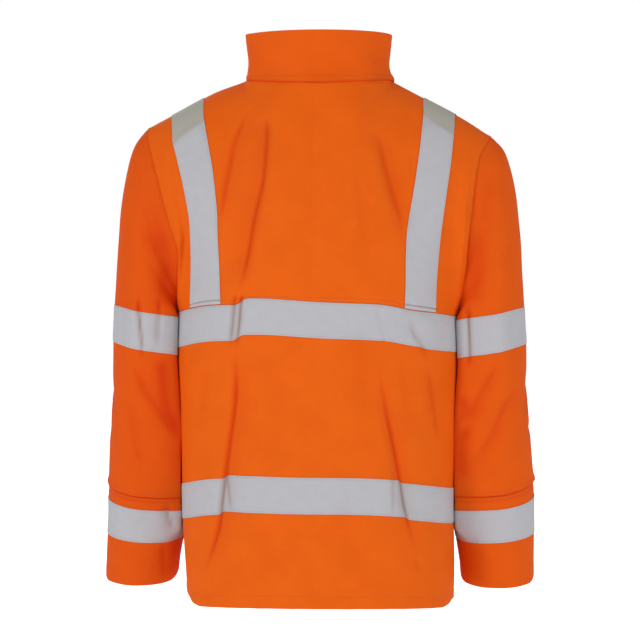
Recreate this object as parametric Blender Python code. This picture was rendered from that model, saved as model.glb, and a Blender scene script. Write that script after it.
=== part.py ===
"""Hi-vis work jacket, held up and filled out as when worn, with nobody in it.

Sizes are in millimetres and are scaled to metres when a mesh is made. +Z is up, the front
faces -Y, and +X is the wearer's left. The origin is at the middle of the neck, level with
the top of the back.

Each cloth piece is a wall made from a grid of points on the jacket's outer face. The body
has a grid for the back and one for the front: columns run from the middle to the side, and
rows from the hem to the shoulder. Reflective tape is made from the same points, moved out.
"""

import math

import bmesh
import bpy
from mathutils import Matrix, Vector

MM = 0.001

# Cloth, tape and the gaps between pieces.
CLOTH = 1.5
TAPE = 1.0
TAPE_WIDTH = 50.0
GAP = 0.3
HALF_GAP = GAP / 2

# Levels on the body, at the middle of the back.
HEM_Z = -725.0
WAIST_TAPE_TOP_Z = -548.0
CHEST_Z = -313.0
ROW_STEP = 33.0
UPPER_ROWS = 12

# Half-widths and depths of the body at several levels.
BODY_SECTIONS = (
    # z, half_width, back_depth, front_depth
    (-725.0, 188.0, 131.0, 144.0),
    (-590.0, 190.5, 135.0, 148.0),
    (-450.0, 193.0, 138.0, 150.0),
    (-313.0, 194.0, 140.0, 150.0),
)
BODY_ROUNDNESS = 2.3

# How far a level row drops from the middle of a panel to its side.
BACK_DIPS = (
    # z, dip
    (-725.0, 6.0),
    (-640.0, 17.0),
    (-548.0, 20.0),
    (-313.0, 17.0),
)
FRONT_RISE = 5.5
FRONT_DIP_AT_WAIST = 20.0

# Columns, as a share of the half-width at the chest and at the shoulder.
COLUMNS = (
    # name, at_chest, at_shoulder
    ("middle", 0.0, 0.0),
    ("neck 1", 0.1, 0.1),
    ("neck 2", 0.2, 0.2),
    ("neck 3", 0.3, 0.3),
    ("neck 4", 0.375, 0.375),
    ("neck point", 0.417, 0.417),
    ("shoulder 1", 0.52, 0.52),
    ("brace inner", 0.628, 0.628),
    ("brace middle", 0.727, 0.727),
    ("brace outer", 0.826, 0.826),
    ("side 1", 0.91, 0.89),
    ("side 2", 0.954, 0.93),
    ("side 3", 0.991, 0.965),
    ("side seam", 1.0, 1.0),
)
NECK_POINT = 5
BRACE_INNER = 7
BRACE_OUTER = 9

# Neck, shoulder and armhole.
NECK_HALF_WIDTH = 100.0
NECK_BACK = Vector((0.0, 78.0, -8.0))
NECK_FRONT = Vector((0.0, -95.0, -60.0))
NECK_POINT_PLACE = Vector((100.0, 5.0, -2.0))
SHOULDER_POINT = Vector((240.0, -5.0, -76.0))
ARMPIT = Vector((194.0, 0.0, -330.0))
ARMHOLE_HALF_DEPTH = 68.0
ARMHOLE_LOWER_ROUNDNESS = 1.5
ARMHOLE_PULL_FROM = 0.55

# Handles of the upper columns' curves: how far each end's handle lies out and up.
BACK_HANDLES = (
    # column, low_out, low_up, top_out, top_up
    (0.0, 8.0, 110.0, 20.0, -50.0),
    (0.417, 10.0, 105.0, 72.0, -26.0),
    (0.727, 7.0, 106.0, 105.0, -10.0),
    (0.91, 25.0, 95.0, 100.0, -4.0),
    (1.0, 90.0, 50.0, 95.0, 0.0),
)
FRONT_HANDLES = (
    # column, low_out, low_up, top_out, top_up
    (0.0, 0.0, 90.0, 32.0, -70.0),
    (0.417, -2.0, 95.0, 80.0, -40.0),
    (0.727, 0.0, 100.0, 95.0, -22.0),
    (0.91, 20.0, 92.0, 92.0, -8.0),
    (1.0, 90.0, 50.0, 95.0, 0.0),
)

# Worn a little askew: the wearer's left shoulder is higher, and the left cuff further out.
LEFT_SHOULDER_RISE = 9.0
LEFT_SIDE_RISE = 4.0
LEFT_RISE_FROM_X = 85.0
LEFT_RISE_TO_X = 155.0
LEFT_CUFF_OUT = 6.0
LEFT_CUFF_FROM_Z = -610.0
HEM_SETTLE = 120.0

# The yoke's free hem stands off the back, and the lower back runs up beneath it.
YOKE_LIFT = 2.2
YOKE_LIFT_ROWS = 3
YOKE_LIFT_BY_COLUMN = (
    # column, share
    (0.0, 1.0),
    (0.91, 1.0),
    (0.954, 0.65),
    (0.991, 0.3),
    (1.0, 0.0),
)
TUCK = 12.0
TUCK_LAST_COLUMN = 10
TAPE_BELOW_YOKE = 2.2
BACK_BELOW_YOKE = 1.0
BRACE_END = 1.5

# The largest folds of the back: soft troughs along a line, seen square on.
BACK_FOLDS = (
    # from_x, from_z, by_x, by_z, to_x, to_z, half_width, depth
    (77.0, -60.0, 92.0, -190.0, 106.0, -310.0, 17.0, 5.0),
    (106.0, -310.0, 114.0, -430.0, 140.0, -660.0, 17.0, 6.0),
    (100.0, -60.0, 128.0, -130.0, 138.0, -185.0, 12.0, 3.0),
    (-77.0, -60.0, -100.0, -130.0, -116.0, -210.0, 17.0, 4.5),
    (-55.0, -270.0, -92.0, -430.0, -125.0, -610.0, 18.0, 4.5),
    (-142.0, -390.0, -156.0, -430.0, -162.0, -480.0, 12.0, 2.5),
)
FRONT_FOLDS = (
    # from_x, from_z, by_x, by_z, to_x, to_z, half_width, depth
    (70.0, -110.0, 96.0, -240.0, 118.0, -390.0, 17.0, 4.0),
    (-82.0, -120.0, -104.0, -260.0, -112.0, -470.0, 17.0, 4.5),
    (112.0, -430.0, 100.0, -520.0, 126.0, -640.0, 18.0, 4.0),
    (-60.0, -560.0, -84.0, -620.0, -96.0, -690.0, 16.0, 3.0),
)

# Sleeve rings, from the armhole to the cuff. Outer is the point furthest from the body, and
# clear is how far the inner one stands off the body's side. Pitch tips a ring's back edge
# down, as the forearm points forward.
SLEEVE_RINGS = (
    # name, outer_x, outer_z, clear, inner_z, middle_y, half_depth, pitch
    ("cap 1", 258.0, -98.0, 2.8, -331.3, -2.0, 70.0, 0.0),
    ("cap 2", 268.0, -128.0, 3.1, -332.8, -2.0, 71.0, 0.0),
    ("cap 3", 275.5, -165.0, 3.1, -334.4, -2.0, 71.0, 0.0),
    ("cap 4", 280.0, -205.0, 3.1, -336.0, -1.0, 71.0, 0.0),
    ("cap 5", 283.0, -249.0, 3.1, -337.5, 0.0, 70.0, 0.0),
    ("cap 6", 285.0, -288.0, 3.1, -339.0, 0.0, 69.0, 0.0),
    ("arm tape top", 286.5, -318.0, 3.1, -341.0, 0.0, 68.0, 0.0),
    ("arm tape middle", 287.5, -343.0, 3.1, -366.0, 0.0, 67.0, 1.0),
    ("arm tape bottom", 289.0, -368.0, 3.1, -391.0, 0.0, 66.0, 2.0),
    ("above elbow", 289.5, -409.0, 1.4, -430.0, -1.0, 64.0, 4.0),
    ("elbow 1", 291.0, -446.0, 1.1, -460.0, -3.0, 62.0, 6.0),
    ("elbow 2", 293.5, -480.0, 1.1, -490.0, -8.0, 60.0, 9.0),
    ("forearm 1", 296.0, -514.0, 1.3, -524.0, -14.0, 58.0, 11.0),
    ("forearm 2", 298.5, -548.0, 2.6, -559.0, -21.0, 56.0, 12.0),
    ("double seam", 300.0, -577.0, 3.3, -588.0, -27.0, 54.5, 12.0),
    ("cuff tape top", 300.5, -591.0, 3.3, -602.0, -30.0, 54.0, 12.0),
    ("cuff tape middle", 301.0, -616.0, 3.5, -624.0, -35.0, 53.0, 12.0),
    ("cuff tape bottom", 301.5, -641.0, 3.8, -646.0, -40.0, 51.5, 11.5),
    ("cuff", 301.0, -672.0, 5.0, -674.0, -46.0, 50.5, 11.0),
    ("cuff hem", 300.0, -700.0, 7.5, -700.0, -51.0, 50.0, 11.0),
)
LEFT_SLEEVE_FOLDS = (
    # from_x, from_z, by_x, by_z, to_x, to_z, half_width, depth
    (200.0, -212.0, 230.0, -222.0, 262.0, -224.0, 15.0, 4.0),
    (228.0, -425.0, 212.0, -470.0, 196.0, -500.0, 15.0, 4.0),
)
RIGHT_SLEEVE_FOLDS = (
    # from_x, from_z, by_x, by_z, to_x, to_z, half_width, depth
    (-242.0, -398.0, -222.0, -425.0, -200.0, -452.0, 15.0, 4.0),
    (-284.0, -436.0, -244.0, -482.0, -208.0, -540.0, 16.0, 4.5),
)
ARM_TAPE = ("arm tape top", "arm tape bottom")
CUFF_SEAM = "double seam"
CUFF_TAPE = ("cuff tape top", "cuff tape bottom")

# How far the armhole's edge leans towards the sleeve at the shoulder.
SHOULDER_TILT = 0.45

# How far the two walls at the armpit lean apart, counted along the armhole from it.
ARMPIT_LEAN = (1.0, 0.75, 0.45, 0.2)

# Collar: a tall stand, lapped a little way over the neck seam.
COLLAR_RINGS = (
    # share_of_height, flare
    (0.0, 4.8),
    (0.07, 4.4),
    (0.17, 0.8),
    (0.38, -1.2),
    (0.7, 0.8),
    (1.0, 2.6),
)
COLLAR_STAND_RING = 2
COLLAR_TOP_Z = 61.0
COLLAR_FRONT_TOP_Z = 36.0
COLLAR_LAP = 3.5
COLLAR_LAP_AT_SHOULDER = 0.3

# Zip down the middle of the front, from the hem to the top of the collar.
FRONT_EDGE_X = 5.0
CHAIN_HALF_WIDTH = 2.9
CHAIN_THICKNESS = 2.2
CHAIN_DEPTH = 0.3
ZIP_TAPE_FROM_X = 3.2
ZIP_TAPE_TO_X = 16.0
ZIP_TAPE_THICKNESS = 0.8
ZIP_TAPE_CLEAR = 0.8
ZIP_END_CLEAR = 4.0

# Zip slider, centred on its front plate, with its pull tab's bar beneath an arch.
SLIDER_BELOW_TOP = 15.0
SLIDER_WIDTH = 8.6
SLIDER_HEIGHT = 13.0
PLATE_THICKNESS = 1.2
PLATE_CLEAR = 0.7
BACK_PLATE_CLEAR = 1.2
POST_WIDTH = 2.4
POST_HEIGHT = 3.0
POST_ABOVE = 1.5
ARCH_WIDTH = 2.4
ARCH_HEIGHT = 8.0
ARCH_REACH = 3.6
ARCH_THICKNESS = 1.0
PULL_BAR = 1.4
PULL_ARM = 2.0
PULL_WIDTH = 7.2
PULL_EYE_HEIGHT = 5.0
PULL_LENGTH = 38.0

COLOURS = {
    "cloth": (0.79, 0.12, 0.012, 1.0),
    "tape": (0.50, 0.50, 0.52, 1.0),
    "zip": (0.55, 0.075, 0.01, 1.0),
    "metal": (0.62, 0.62, 0.64, 1.0),
}


def lerp(a, b, share):
    """The value or point that lies this share of the way from a to b."""
    return a + (b - a) * share


def smooth(share):
    """A share from 0 to 1, eased at both ends."""
    share = min(max(share, 0.0), 1.0)
    return share * share * (3.0 - 2.0 * share)


def from_table(table, key):
    """A table's row at key, a tuple without the key, on a smooth curve through its rows."""
    if key <= table[0][0]:
        return table[0][1:]
    if key >= table[-1][0]:
        return table[-1][1:]
    last = len(table) - 1
    after = next(i for i in range(1, last + 1) if key <= table[i][0])
    before = after - 1
    span = table[after][0] - table[before][0]
    share = (key - table[before][0]) / span

    def slope(index, column):
        low = max(index - 1, 0)
        high = min(index + 1, last)
        return (table[high][column] - table[low][column]) / (table[high][0] - table[low][0])

    values = []
    for column in range(1, len(table[0])):
        a = table[before][column]
        b = table[after][column]
        rise = 2 * share**3 - 3 * share**2 + 1
        lead = share**3 - 2 * share**2 + share
        trail = share**3 - share**2
        leaving = slope(before, column) * span
        arriving = slope(after, column) * span
        values.append(a * rise + b * (1 - rise) + leaving * lead + arriving * trail)
    return tuple(values)


def bezier(start, start_handle, end_handle, end, t):
    """A point on a cubic curve."""
    s = 1.0 - t
    return (
        start * s**3
        + start_handle * (3 * s * s * t)
        + end_handle * (3 * s * t * t)
        + end * t**3
    )


# --- The body's outer face ---------------------------------------------------


def body_rows():
    """The levels of the lower body's rows at the middle of the back, hem first."""
    marks = (
        HEM_Z,
        WAIST_TAPE_TOP_Z - TAPE_WIDTH,
        WAIST_TAPE_TOP_Z,
        CHEST_Z - TAPE_WIDTH,
        CHEST_Z,
    )
    levels = [marks[0]]
    for low, high in zip(marks, marks[1:]):
        count = max(1, round((high - low) / ROW_STEP))
        levels += [lerp(low, high, (i + 1) / count) for i in range(count)]
    return levels


def row_drop(level, column, front):
    """How far a row lies below its level at the middle of the back."""
    dip = from_table(BACK_DIPS, level)[0]
    if front:
        return dip - FRONT_RISE * (1.0 - column**2) * dip / FRONT_DIP_AT_WAIST
    return dip * column**3


def body_point(level, column, front):
    """A point of the lower body: half of an oval row, from the middle to the side seam."""
    half_width, back_depth, front_depth = from_table(BODY_SECTIONS, level)
    depth = front_depth if front else back_depth
    out = max(0.0, 1.0 - column**BODY_ROUNDNESS) ** (1.0 / BODY_ROUNDNESS)
    y = -depth * out if front else depth * out
    return Vector((half_width * column, y, level - row_drop(level, column, front)))


def neck_and_shoulder_point(column, front):
    """A point of the neck edge, or past the neck point, of the shoulder seam."""
    x = SHOULDER_POINT.x * column
    if x > NECK_HALF_WIDTH:
        share = (x - NECK_HALF_WIDTH) / (SHOULDER_POINT.x - NECK_HALF_WIDTH)
        return lerp(NECK_POINT_PLACE, SHOULDER_POINT, share)
    end = NECK_FRONT if front else NECK_BACK
    across = math.sqrt(max(0.0, 1.0 - (x / NECK_HALF_WIDTH) ** 2))
    place = lerp(NECK_POINT_PLACE, end, across)
    return Vector((x, place.y, place.z))


def armhole_point(turn):
    """A point of the armhole at a turn from the armpit (0) past the back to the shoulder (pi)."""
    middle = (SHOULDER_POINT + ARMPIT) / 2
    along = SHOULDER_POINT - middle
    power = 2.0 / ARMHOLE_LOWER_ROUNDNESS if math.cos(turn) > 0 else 1.0
    up = -math.copysign(abs(math.cos(turn)) ** power, math.cos(turn))
    out = math.copysign(abs(math.sin(turn)) ** power, math.sin(turn))
    return middle + along * up + Vector((0.0, ARMHOLE_HALF_DEPTH * out, 0.0))


def upper_point(column, top_column, share, front):
    """A point of the upper body, on the curve from the chest row to the neck or shoulder."""
    side = -1.0 if front else 1.0
    low = body_point(CHEST_Z, column, front)
    top = neck_and_shoulder_point(top_column, front)
    low_out, low_up, top_out, top_up = from_table(
        FRONT_HANDLES if front else BACK_HANDLES, column
    )
    third = (top.x - low.x) / 3.0
    low_handle = low + Vector((third, side * low_out, low_up))
    top_handle = top + Vector((-third, side * top_out, top_up))
    return bezier(low, low_handle, top_handle, top, share)


def upper_body_point(column, top_column, share, front):
    """An upper point, drawn towards the armhole near the side so that the last column is on it."""
    point = upper_point(column, top_column, share, front)
    pull = max(0.0, (column - ARMHOLE_PULL_FROM) / (1.0 - ARMHOLE_PULL_FROM)) ** 3
    if pull == 0.0:
        return point
    turn = math.pi * share
    on_armhole = armhole_point(-turn if front else turn)
    return point + (on_armhole - upper_point(1.0, 1.0, share, front)) * pull


def distance_to_line(x, z, ends):
    """How far a place seen square on is from a straight line between two others."""
    from_x, from_z, to_x, to_z = ends
    along_x = to_x - from_x
    along_z = to_z - from_z
    share = ((x - from_x) * along_x + (z - from_z) * along_z) / (along_x**2 + along_z**2)
    share = min(max(share, 0.0), 1.0)
    return math.hypot(x - from_x - along_x * share, z - from_z - along_z * share)


def fold_depth(x, z, folds):
    """How deep the folds are at a place seen square on."""
    depth = 0.0
    for from_x, from_z, by_x, by_z, to_x, to_z, half_width, deepest in folds:
        upper = distance_to_line(x, z, (from_x, from_z, by_x, by_z))
        lower = distance_to_line(x, z, (by_x, by_z, to_x, to_z))
        across = min(upper, lower) / half_width
        depth = max(depth, deepest * math.exp(-across * across))
    return depth


# --- Grids -------------------------------------------------------------------


class Grid:
    """Rows of points on an outer face, with the direction out of the cloth at each."""

    def __init__(self, points, normals=None, around=False):
        self.points = points
        self.around = around
        self.normals = normals or self.find_normals()

    def find_normals(self):
        """Directions square to the rows and columns; columns run rightwards seen from outside."""
        rows = self.points
        last = len(rows) - 1
        count = len(rows[0])
        normals = []
        for r, row in enumerate(rows):
            above = rows[min(r + 1, last)]
            below = rows[max(r - 1, 0)]
            line = []
            for c in range(count):
                if self.around:
                    right = row[(c + 1) % count]
                    left = row[c - 1]
                else:
                    right = row[min(c + 1, count - 1)]
                    left = row[max(c - 1, 0)]
                line.append((right - left).cross(above[c] - below[c]).normalized())
            normals.append(line)
        return normals

    def part(self, first_row, last_row, first_column=0, last_column=None):
        """The rows and columns from the first to the last, both kept."""
        end = len(self.points[0]) if last_column is None else last_column + 1
        rows = range(first_row, last_row + 1)
        return Grid(
            [self.points[r][first_column:end] for r in rows],
            [self.normals[r][first_column:end] for r in rows],
            self.around,
        )

    def moved_out(self, distance):
        """The same grid, further out of the cloth."""
        points = [
            [p + n * distance for p, n in zip(row, line)]
            for row, line in zip(self.points, self.normals)
        ]
        return Grid(points, self.normals, self.around)

    def shortened(self, at_first, at_last):
        """The same grid with its first and last rows drawn in by these lengths."""
        points = [list(row) for row in self.points]
        for index, inner, length in ((0, 1, at_first), (-1, -2, at_last)):
            for c, point in enumerate(self.points[index]):
                towards = self.points[inner][c] - point
                points[index][c] = point + towards.normalized() * length
        return Grid(points, self.normals, self.around)

    def turned_over(self):
        """The same grid with its rows in the other order, facing the same way."""
        points = [list(reversed(row)) for row in reversed(self.points)]
        normals = [list(reversed(row)) for row in reversed(self.normals)]
        return Grid(points, normals, self.around)


def mirrored(point):
    """The point on the other side of the body."""
    return Vector((-point.x, point.y, point.z))


def mirrored_grid(grid):
    """The grid on the other side of the body, its columns still running rightwards."""
    return Grid(
        [[mirrored(p) for p in reversed(row)] for row in grid.points],
        [[mirrored(n) for n in reversed(row)] for row in grid.normals],
        grid.around,
    )


def body_side(front, levels):
    """One face of the body, from side seam to side seam: lower and upper rows of points.

    Seen from outside, the columns run rightwards: from the wearer's left to right on the
    back, and from the wearer's right to left on the front.
    """
    seam = Vector((0.0, -HALF_GAP if front else HALF_GAP, 0.0))
    lower = []
    for level in levels:
        points = [body_point(level, c[1], front) for c in COLUMNS]
        points[-1] = points[-1] + seam
        lower.append(points)
    upper = []
    for row in range(1, UPPER_ROWS + 1):
        share = row / UPPER_ROWS
        points = [upper_body_point(c[1], c[2], share, front) for c in COLUMNS]
        if row == UPPER_ROWS:
            points = [p + seam * (i >= NECK_POINT) for i, p in enumerate(points)]
        upper.append(points)
    full = []
    for half in lower + upper:
        other = [mirrored(p) for p in half[1:]]
        if front:
            full.append(list(reversed(other)) + half)
        else:
            full.append(list(reversed(half)) + other)
    grid = Grid(full)
    grid = folded(grid, FRONT_FOLDS if front else BACK_FOLDS, -1.0 if front else 1.0)
    set_edge_normals(grid, len(levels) - 1)
    set_armhole_edges(grid, len(levels) - 1, front)
    return grid


def folded(grid, folds, facing):
    """The grid pressed in along the folds where it faces this way, apart from its edges."""
    last_row = len(grid.points) - 1
    points = []
    for r, (row, line) in enumerate(zip(grid.points, grid.normals)):
        pressed = []
        for c, (point, normal) in enumerate(zip(row, line)):
            from_edge = min(r, last_row - r) if grid.around else min(c, len(row) - 1 - c)
            share = smooth(from_edge / 2.0) * max(0.0, normal.y * facing) ** 0.5
            pressed.append(point - normal * fold_depth(point.x, point.z, folds) * share)
        points.append(pressed)
    return Grid(points, around=grid.around)


def set_edge_normals(grid, chest_row):
    """Gives both pieces at a side or shoulder seam the same direction out."""
    count = len(grid.points[0])
    for r in range(chest_row + 1):
        for c in (0, count - 1):
            grid.normals[r][c] = Vector((math.copysign(1.0, grid.points[r][c].x), 0.0, 0.0))
    middle = count // 2
    slope = SHOULDER_POINT - NECK_POINT_PLACE
    uphill = Vector((-slope.z, 0.0, slope.x)).normalized()
    for c in range(count):
        if abs(c - middle) >= NECK_POINT:
            sign = math.copysign(1.0, grid.points[-1][c].x)
            grid.normals[-1][c] = Vector((uphill.x * sign, 0.0, uphill.z))


def armhole_frame(turn):
    """The armhole's edge at a turn: its place, the direction out, and the one to the sleeve."""
    small = 0.02
    place = armhole_point(turn)
    along = (armhole_point(turn + small) - armhole_point(turn - small)).normalized()
    axis = Vector((0.0, 1.0, 0.0)).cross(SHOULDER_POINT - ARMPIT).normalized()
    out = along.cross(axis).normalized()
    if out.dot(place - (SHOULDER_POINT + ARMPIT) / 2) < 0:
        out = -out
    height = (1.0 - math.cos(turn)) / 2
    out = (out + axis * SHOULDER_TILT * height**2).normalized()
    towards = out.cross(along).normalized()
    if towards.dot(axis) < 0:
        towards = -towards
    return place, out, towards


def armpit_lean(index):
    """How far the walls lean apart at this many points from the armpit."""
    return ARMPIT_LEAN[index] if index < len(ARMPIT_LEAN) else 0.0


def set_armhole_edges(grid, chest_row, front):
    """Puts the side columns on the armhole, half a gap to the body's side of it."""
    last = len(grid.points[0]) - 1
    for row in range(UPPER_ROWS + 1):
        turn = math.pi * row / UPPER_ROWS
        place, out, towards = armhole_frame(-turn if front else turn)
        place = place - towards * HALF_GAP
        if row in (0, UPPER_ROWS):
            place.y += -HALF_GAP if front else HALF_GAP
        out = (out + Vector((armpit_lean(row), 0.0, 0.0))).normalized()
        left = last if front else 0
        right = 0 if front else last
        grid.points[chest_row + row][left] = place
        grid.normals[chest_row + row][left] = out
        grid.points[chest_row + row][right] = mirrored(place)
        grid.normals[chest_row + row][right] = mirrored(out)


def sleeve_ring(ring, count):
    """The points of one of the left sleeve's rings, from the inner point past the back."""
    _, outer_x, outer_z, clear, inner_z, middle_y, half_depth, pitch = ring
    outer = Vector((outer_x, 0.0, outer_z))
    inner = Vector((from_table(BODY_SECTIONS, inner_z)[0] + clear, 0.0, inner_z))
    middle = (outer + inner) / 2
    across = (outer - inner) / 2
    tip = math.tan(math.radians(pitch))
    points = []
    for i in range(count):
        turn = math.tau * i / count
        y = half_depth * math.sin(turn)
        points.append(middle - across * math.cos(turn) + Vector((0.0, middle_y + y, -y * tip)))
    return points


def sleeve_grid(left):
    """A sleeve from cuff to armhole, its columns running rightwards seen from outside."""
    count = 2 * UPPER_ROWS
    rows = [sleeve_ring(ring, count) for ring in SLEEVE_RINGS]
    places = []
    directions = []
    for i in range(count):
        turn = math.tau * i / count
        if turn > math.pi:
            turn -= math.tau
        place, out, towards = armhole_frame(turn)
        lean = Vector((armpit_lean(min(i, count - i)), 0.0, 0.0))
        places.append(place + towards * HALF_GAP)
        directions.append((out - lean).normalized())
    points = [list(reversed(row)) for row in reversed([places] + rows)]
    grid = Grid(points, around=True)
    if not left:
        grid = mirrored_grid(grid)
        directions = [mirrored(d) for d in reversed(directions)]
    grid = folded(grid, LEFT_SLEEVE_FOLDS if left else RIGHT_SLEEVE_FOLDS, 1.0)
    grid.normals[-1] = list(reversed(directions))
    return grid


def worn(point):
    """The place of a point on the jacket as worn, its left side a little higher."""
    share = smooth((point.x - LEFT_RISE_FROM_X) / (LEFT_RISE_TO_X - LEFT_RISE_FROM_X))
    share *= smooth((point.z - HEM_Z) / HEM_SETTLE)
    up_body = smooth((point.z - ARMPIT.z) / (SHOULDER_POINT.z - ARMPIT.z))
    rise = lerp(LEFT_SIDE_RISE, LEFT_SHOULDER_RISE, up_body) * share
    down_cuff = smooth((LEFT_CUFF_FROM_Z - point.z) / 2.0 / TAPE_WIDTH)
    away = smooth((point.x - ARMPIT.x) / 2.0 / TAPE_WIDTH)
    return Vector((point.x + LEFT_CUFF_OUT * down_cuff * away, point.y, point.z + rise))


# --- Pieces ------------------------------------------------------------------


def add_piece(name, vertices, faces, colour):
    """A named object with its own material, from points in millimetres."""
    mesh = bpy.data.meshes.new(name)
    mesh.from_pydata([worn(v) * MM for v in vertices], [], faces)
    work = bmesh.new()
    work.from_mesh(mesh)
    bmesh.ops.recalc_face_normals(work, faces=work.faces)
    work.to_mesh(mesh)
    work.free()
    mesh.shade_smooth()
    mesh.set_sharp_from_angle(angle=math.radians(40))
    material = bpy.data.materials.new(name)
    material.use_nodes = True
    shader = material.node_tree.nodes["Principled BSDF"]
    shader.inputs["Base Color"].default_value = COLOURS[colour]
    shader.inputs["Roughness"].default_value = 0.35 if colour == "metal" else 0.5
    shader.inputs["Metallic"].default_value = 1.0 if colour == "metal" else 0.0
    mesh.materials.append(material)
    piece = bpy.data.objects.new(name, mesh)
    bpy.context.scene.collection.objects.link(piece)
    return piece


def add_wall(name, grid, thickness, colour="cloth"):
    """A piece of cloth: the grid's outer face, the same face moved in, and its edges."""
    rows = len(grid.points)
    columns = len(grid.points[0])
    outer = [p for row in grid.points for p in row]
    inner = [p for row in grid.moved_out(-thickness).points for p in row]
    behind = len(outer)
    wraps = columns if grid.around else columns - 1

    def at(r, c):
        return r * columns + c % columns

    faces = []
    for r in range(rows - 1):
        for c in range(wraps):
            corners = (at(r, c), at(r, c + 1), at(r + 1, c + 1), at(r + 1, c))
            for first, second, third in ((0, 1, 2), (0, 2, 3)):
                a, b, d = corners[first], corners[second], corners[third]
                faces.append((a, b, d))
                faces.append((d + behind, b + behind, a + behind))
    for c in range(wraps):
        for r, forward in ((0, False), (rows - 1, True)):
            a, b = at(r, c), at(r, c + 1)
            edge = (a, b) if forward else (b, a)
            faces.append((*edge, edge[1] + behind, edge[0] + behind))
    if not grid.around:
        for r in range(rows - 1):
            for c, forward in ((0, True), (columns - 1, False)):
                a, b = at(r, c), at(r + 1, c)
                edge = (a, b) if forward else (b, a)
                faces.append((*edge, edge[1] + behind, edge[0] + behind))
    return add_piece(name, outer + inner, faces, colour)


def add_tape(name, grid):
    """Reflective tape laid on a grid."""
    return add_wall(name, grid.moved_out(GAP + TAPE), TAPE, "tape")


def front_half(front, left):
    """One front, from its edge beside the zip to its side seam."""
    middle = len(front.points[0]) // 2
    last_row = len(front.points) - 1
    if left:
        half = front.part(0, last_row, middle)
        edge, beside = 0, 1
    else:
        half = front.part(0, last_row, 0, middle)
        edge, beside = -1, -2
    for row, line in zip(half.points, half.normals):
        share = FRONT_EDGE_X / abs(row[beside].x)
        row[edge] = lerp(row[edge], row[beside], share)
        line[edge] = lerp(line[edge], line[beside], share).normalized()
    return half


def build_back(back, chest_row):
    """The lower back, whose top runs up beneath the yoke's hem, and its tape."""
    lower = back.part(0, chest_row).shortened(0.0, TAPE_BELOW_YOKE)
    middle = len(back.points[0]) // 2
    top = []
    for c, point in enumerate(back.points[chest_row]):
        from_middle = abs(c - middle)
        if from_middle <= TUCK_LAST_COLUMN:
            length = TUCK if from_middle < TUCK_LAST_COLUMN else TUCK / 4
            top.append(point + (back.points[chest_row + 1][c] - point).normalized() * length)
        else:
            below = back.points[chest_row - 1][c] - point
            top.append(point + below.normalized() * BACK_BELOW_YOKE)
    add_wall("back", Grid(lower.points + [top], lower.normals + [lower.normals[-1]]), CLOTH)
    return lower


def build_yoke(back, chest_row):
    """The yoke flap over the shoulders, its free hem standing off the back."""
    yoke = back.part(chest_row, chest_row + UPPER_ROWS)
    middle = len(back.points[0]) // 2
    for r in range(YOKE_LIFT_ROWS):
        fade = smooth(1.0 - r / YOKE_LIFT_ROWS)
        for c, (point, normal) in enumerate(zip(yoke.points[r], yoke.normals[r])):
            share = from_table(YOKE_LIFT_BY_COLUMN, COLUMNS[abs(c - middle)][1])[0]
            yoke.points[r][c] = point + normal * YOKE_LIFT * share * fade
    add_wall("back_yoke", yoke, CLOTH)
    return yoke


def build_body_tapes(lower_back, front, levels):
    """The chest and waist tapes, in one length on the back and one on each front."""
    chest_row = len(levels) - 1
    for name, top in (("chest", CHEST_Z), ("waist", WAIST_TAPE_TOP_Z)):
        first = levels.index(top - TAPE_WIDTH)
        last = levels.index(top)
        below_yoke = TAPE_BELOW_YOKE if last == chest_row else 0.0
        add_tape(f"{name}_tape_back", lower_back.part(first, last))
        for side in ("left", "right"):
            half = front_half(front, side == "left").part(first, last)
            add_tape(f"{name}_tape_front_{side}", half.shortened(0.0, below_yoke))


def build_braces(yoke, front, chest_row):
    """The tapes over the shoulders, from the yoke's hem to the chest tape on the front."""
    middle = len(front.points[0]) // 2
    for side in ("left", "right"):
        left = side == "left"
        back_columns = sorted(middle + (-c if left else c) for c in (BRACE_INNER, BRACE_OUTER))
        front_columns = sorted(middle + (c if left else -c) for c in (BRACE_INNER, BRACE_OUTER))
        behind = yoke.part(0, UPPER_ROWS, *back_columns)
        ahead = front.part(chest_row, chest_row + UPPER_ROWS, *front_columns).turned_over()
        seam = [lerp(a, b, 0.5) for a, b in zip(behind.points[-1], ahead.points[0])]
        points = behind.points[:-1] + [seam] + ahead.points[1:]
        normals = behind.normals + ahead.normals[1:]
        add_tape(f"brace_{side}", Grid(points, normals).shortened(BRACE_END, 0.0))


def build_sleeve(sleeve, side):
    """A sleeve in two lengths that meet at the double seam, with its two bands of tape."""
    names = ["armhole"] + [ring[0] for ring in SLEEVE_RINGS]
    last = len(names) - 1

    def row(name):
        return last - names.index(name)

    upper = sleeve.part(row(CUFF_SEAM), last).shortened(HALF_GAP, 0.0)
    cuff = sleeve.part(0, row(CUFF_SEAM)).shortened(0.0, HALF_GAP)
    add_wall(f"sleeve_{side}", upper, CLOTH)
    add_wall(f"cuff_{side}", cuff, CLOTH)
    for piece, (top, bottom) in (("arm_tape", ARM_TAPE), ("cuff_tape", CUFF_TAPE)):
        add_tape(f"{piece}_{side}", sleeve.part(row(bottom), row(top)))


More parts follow.
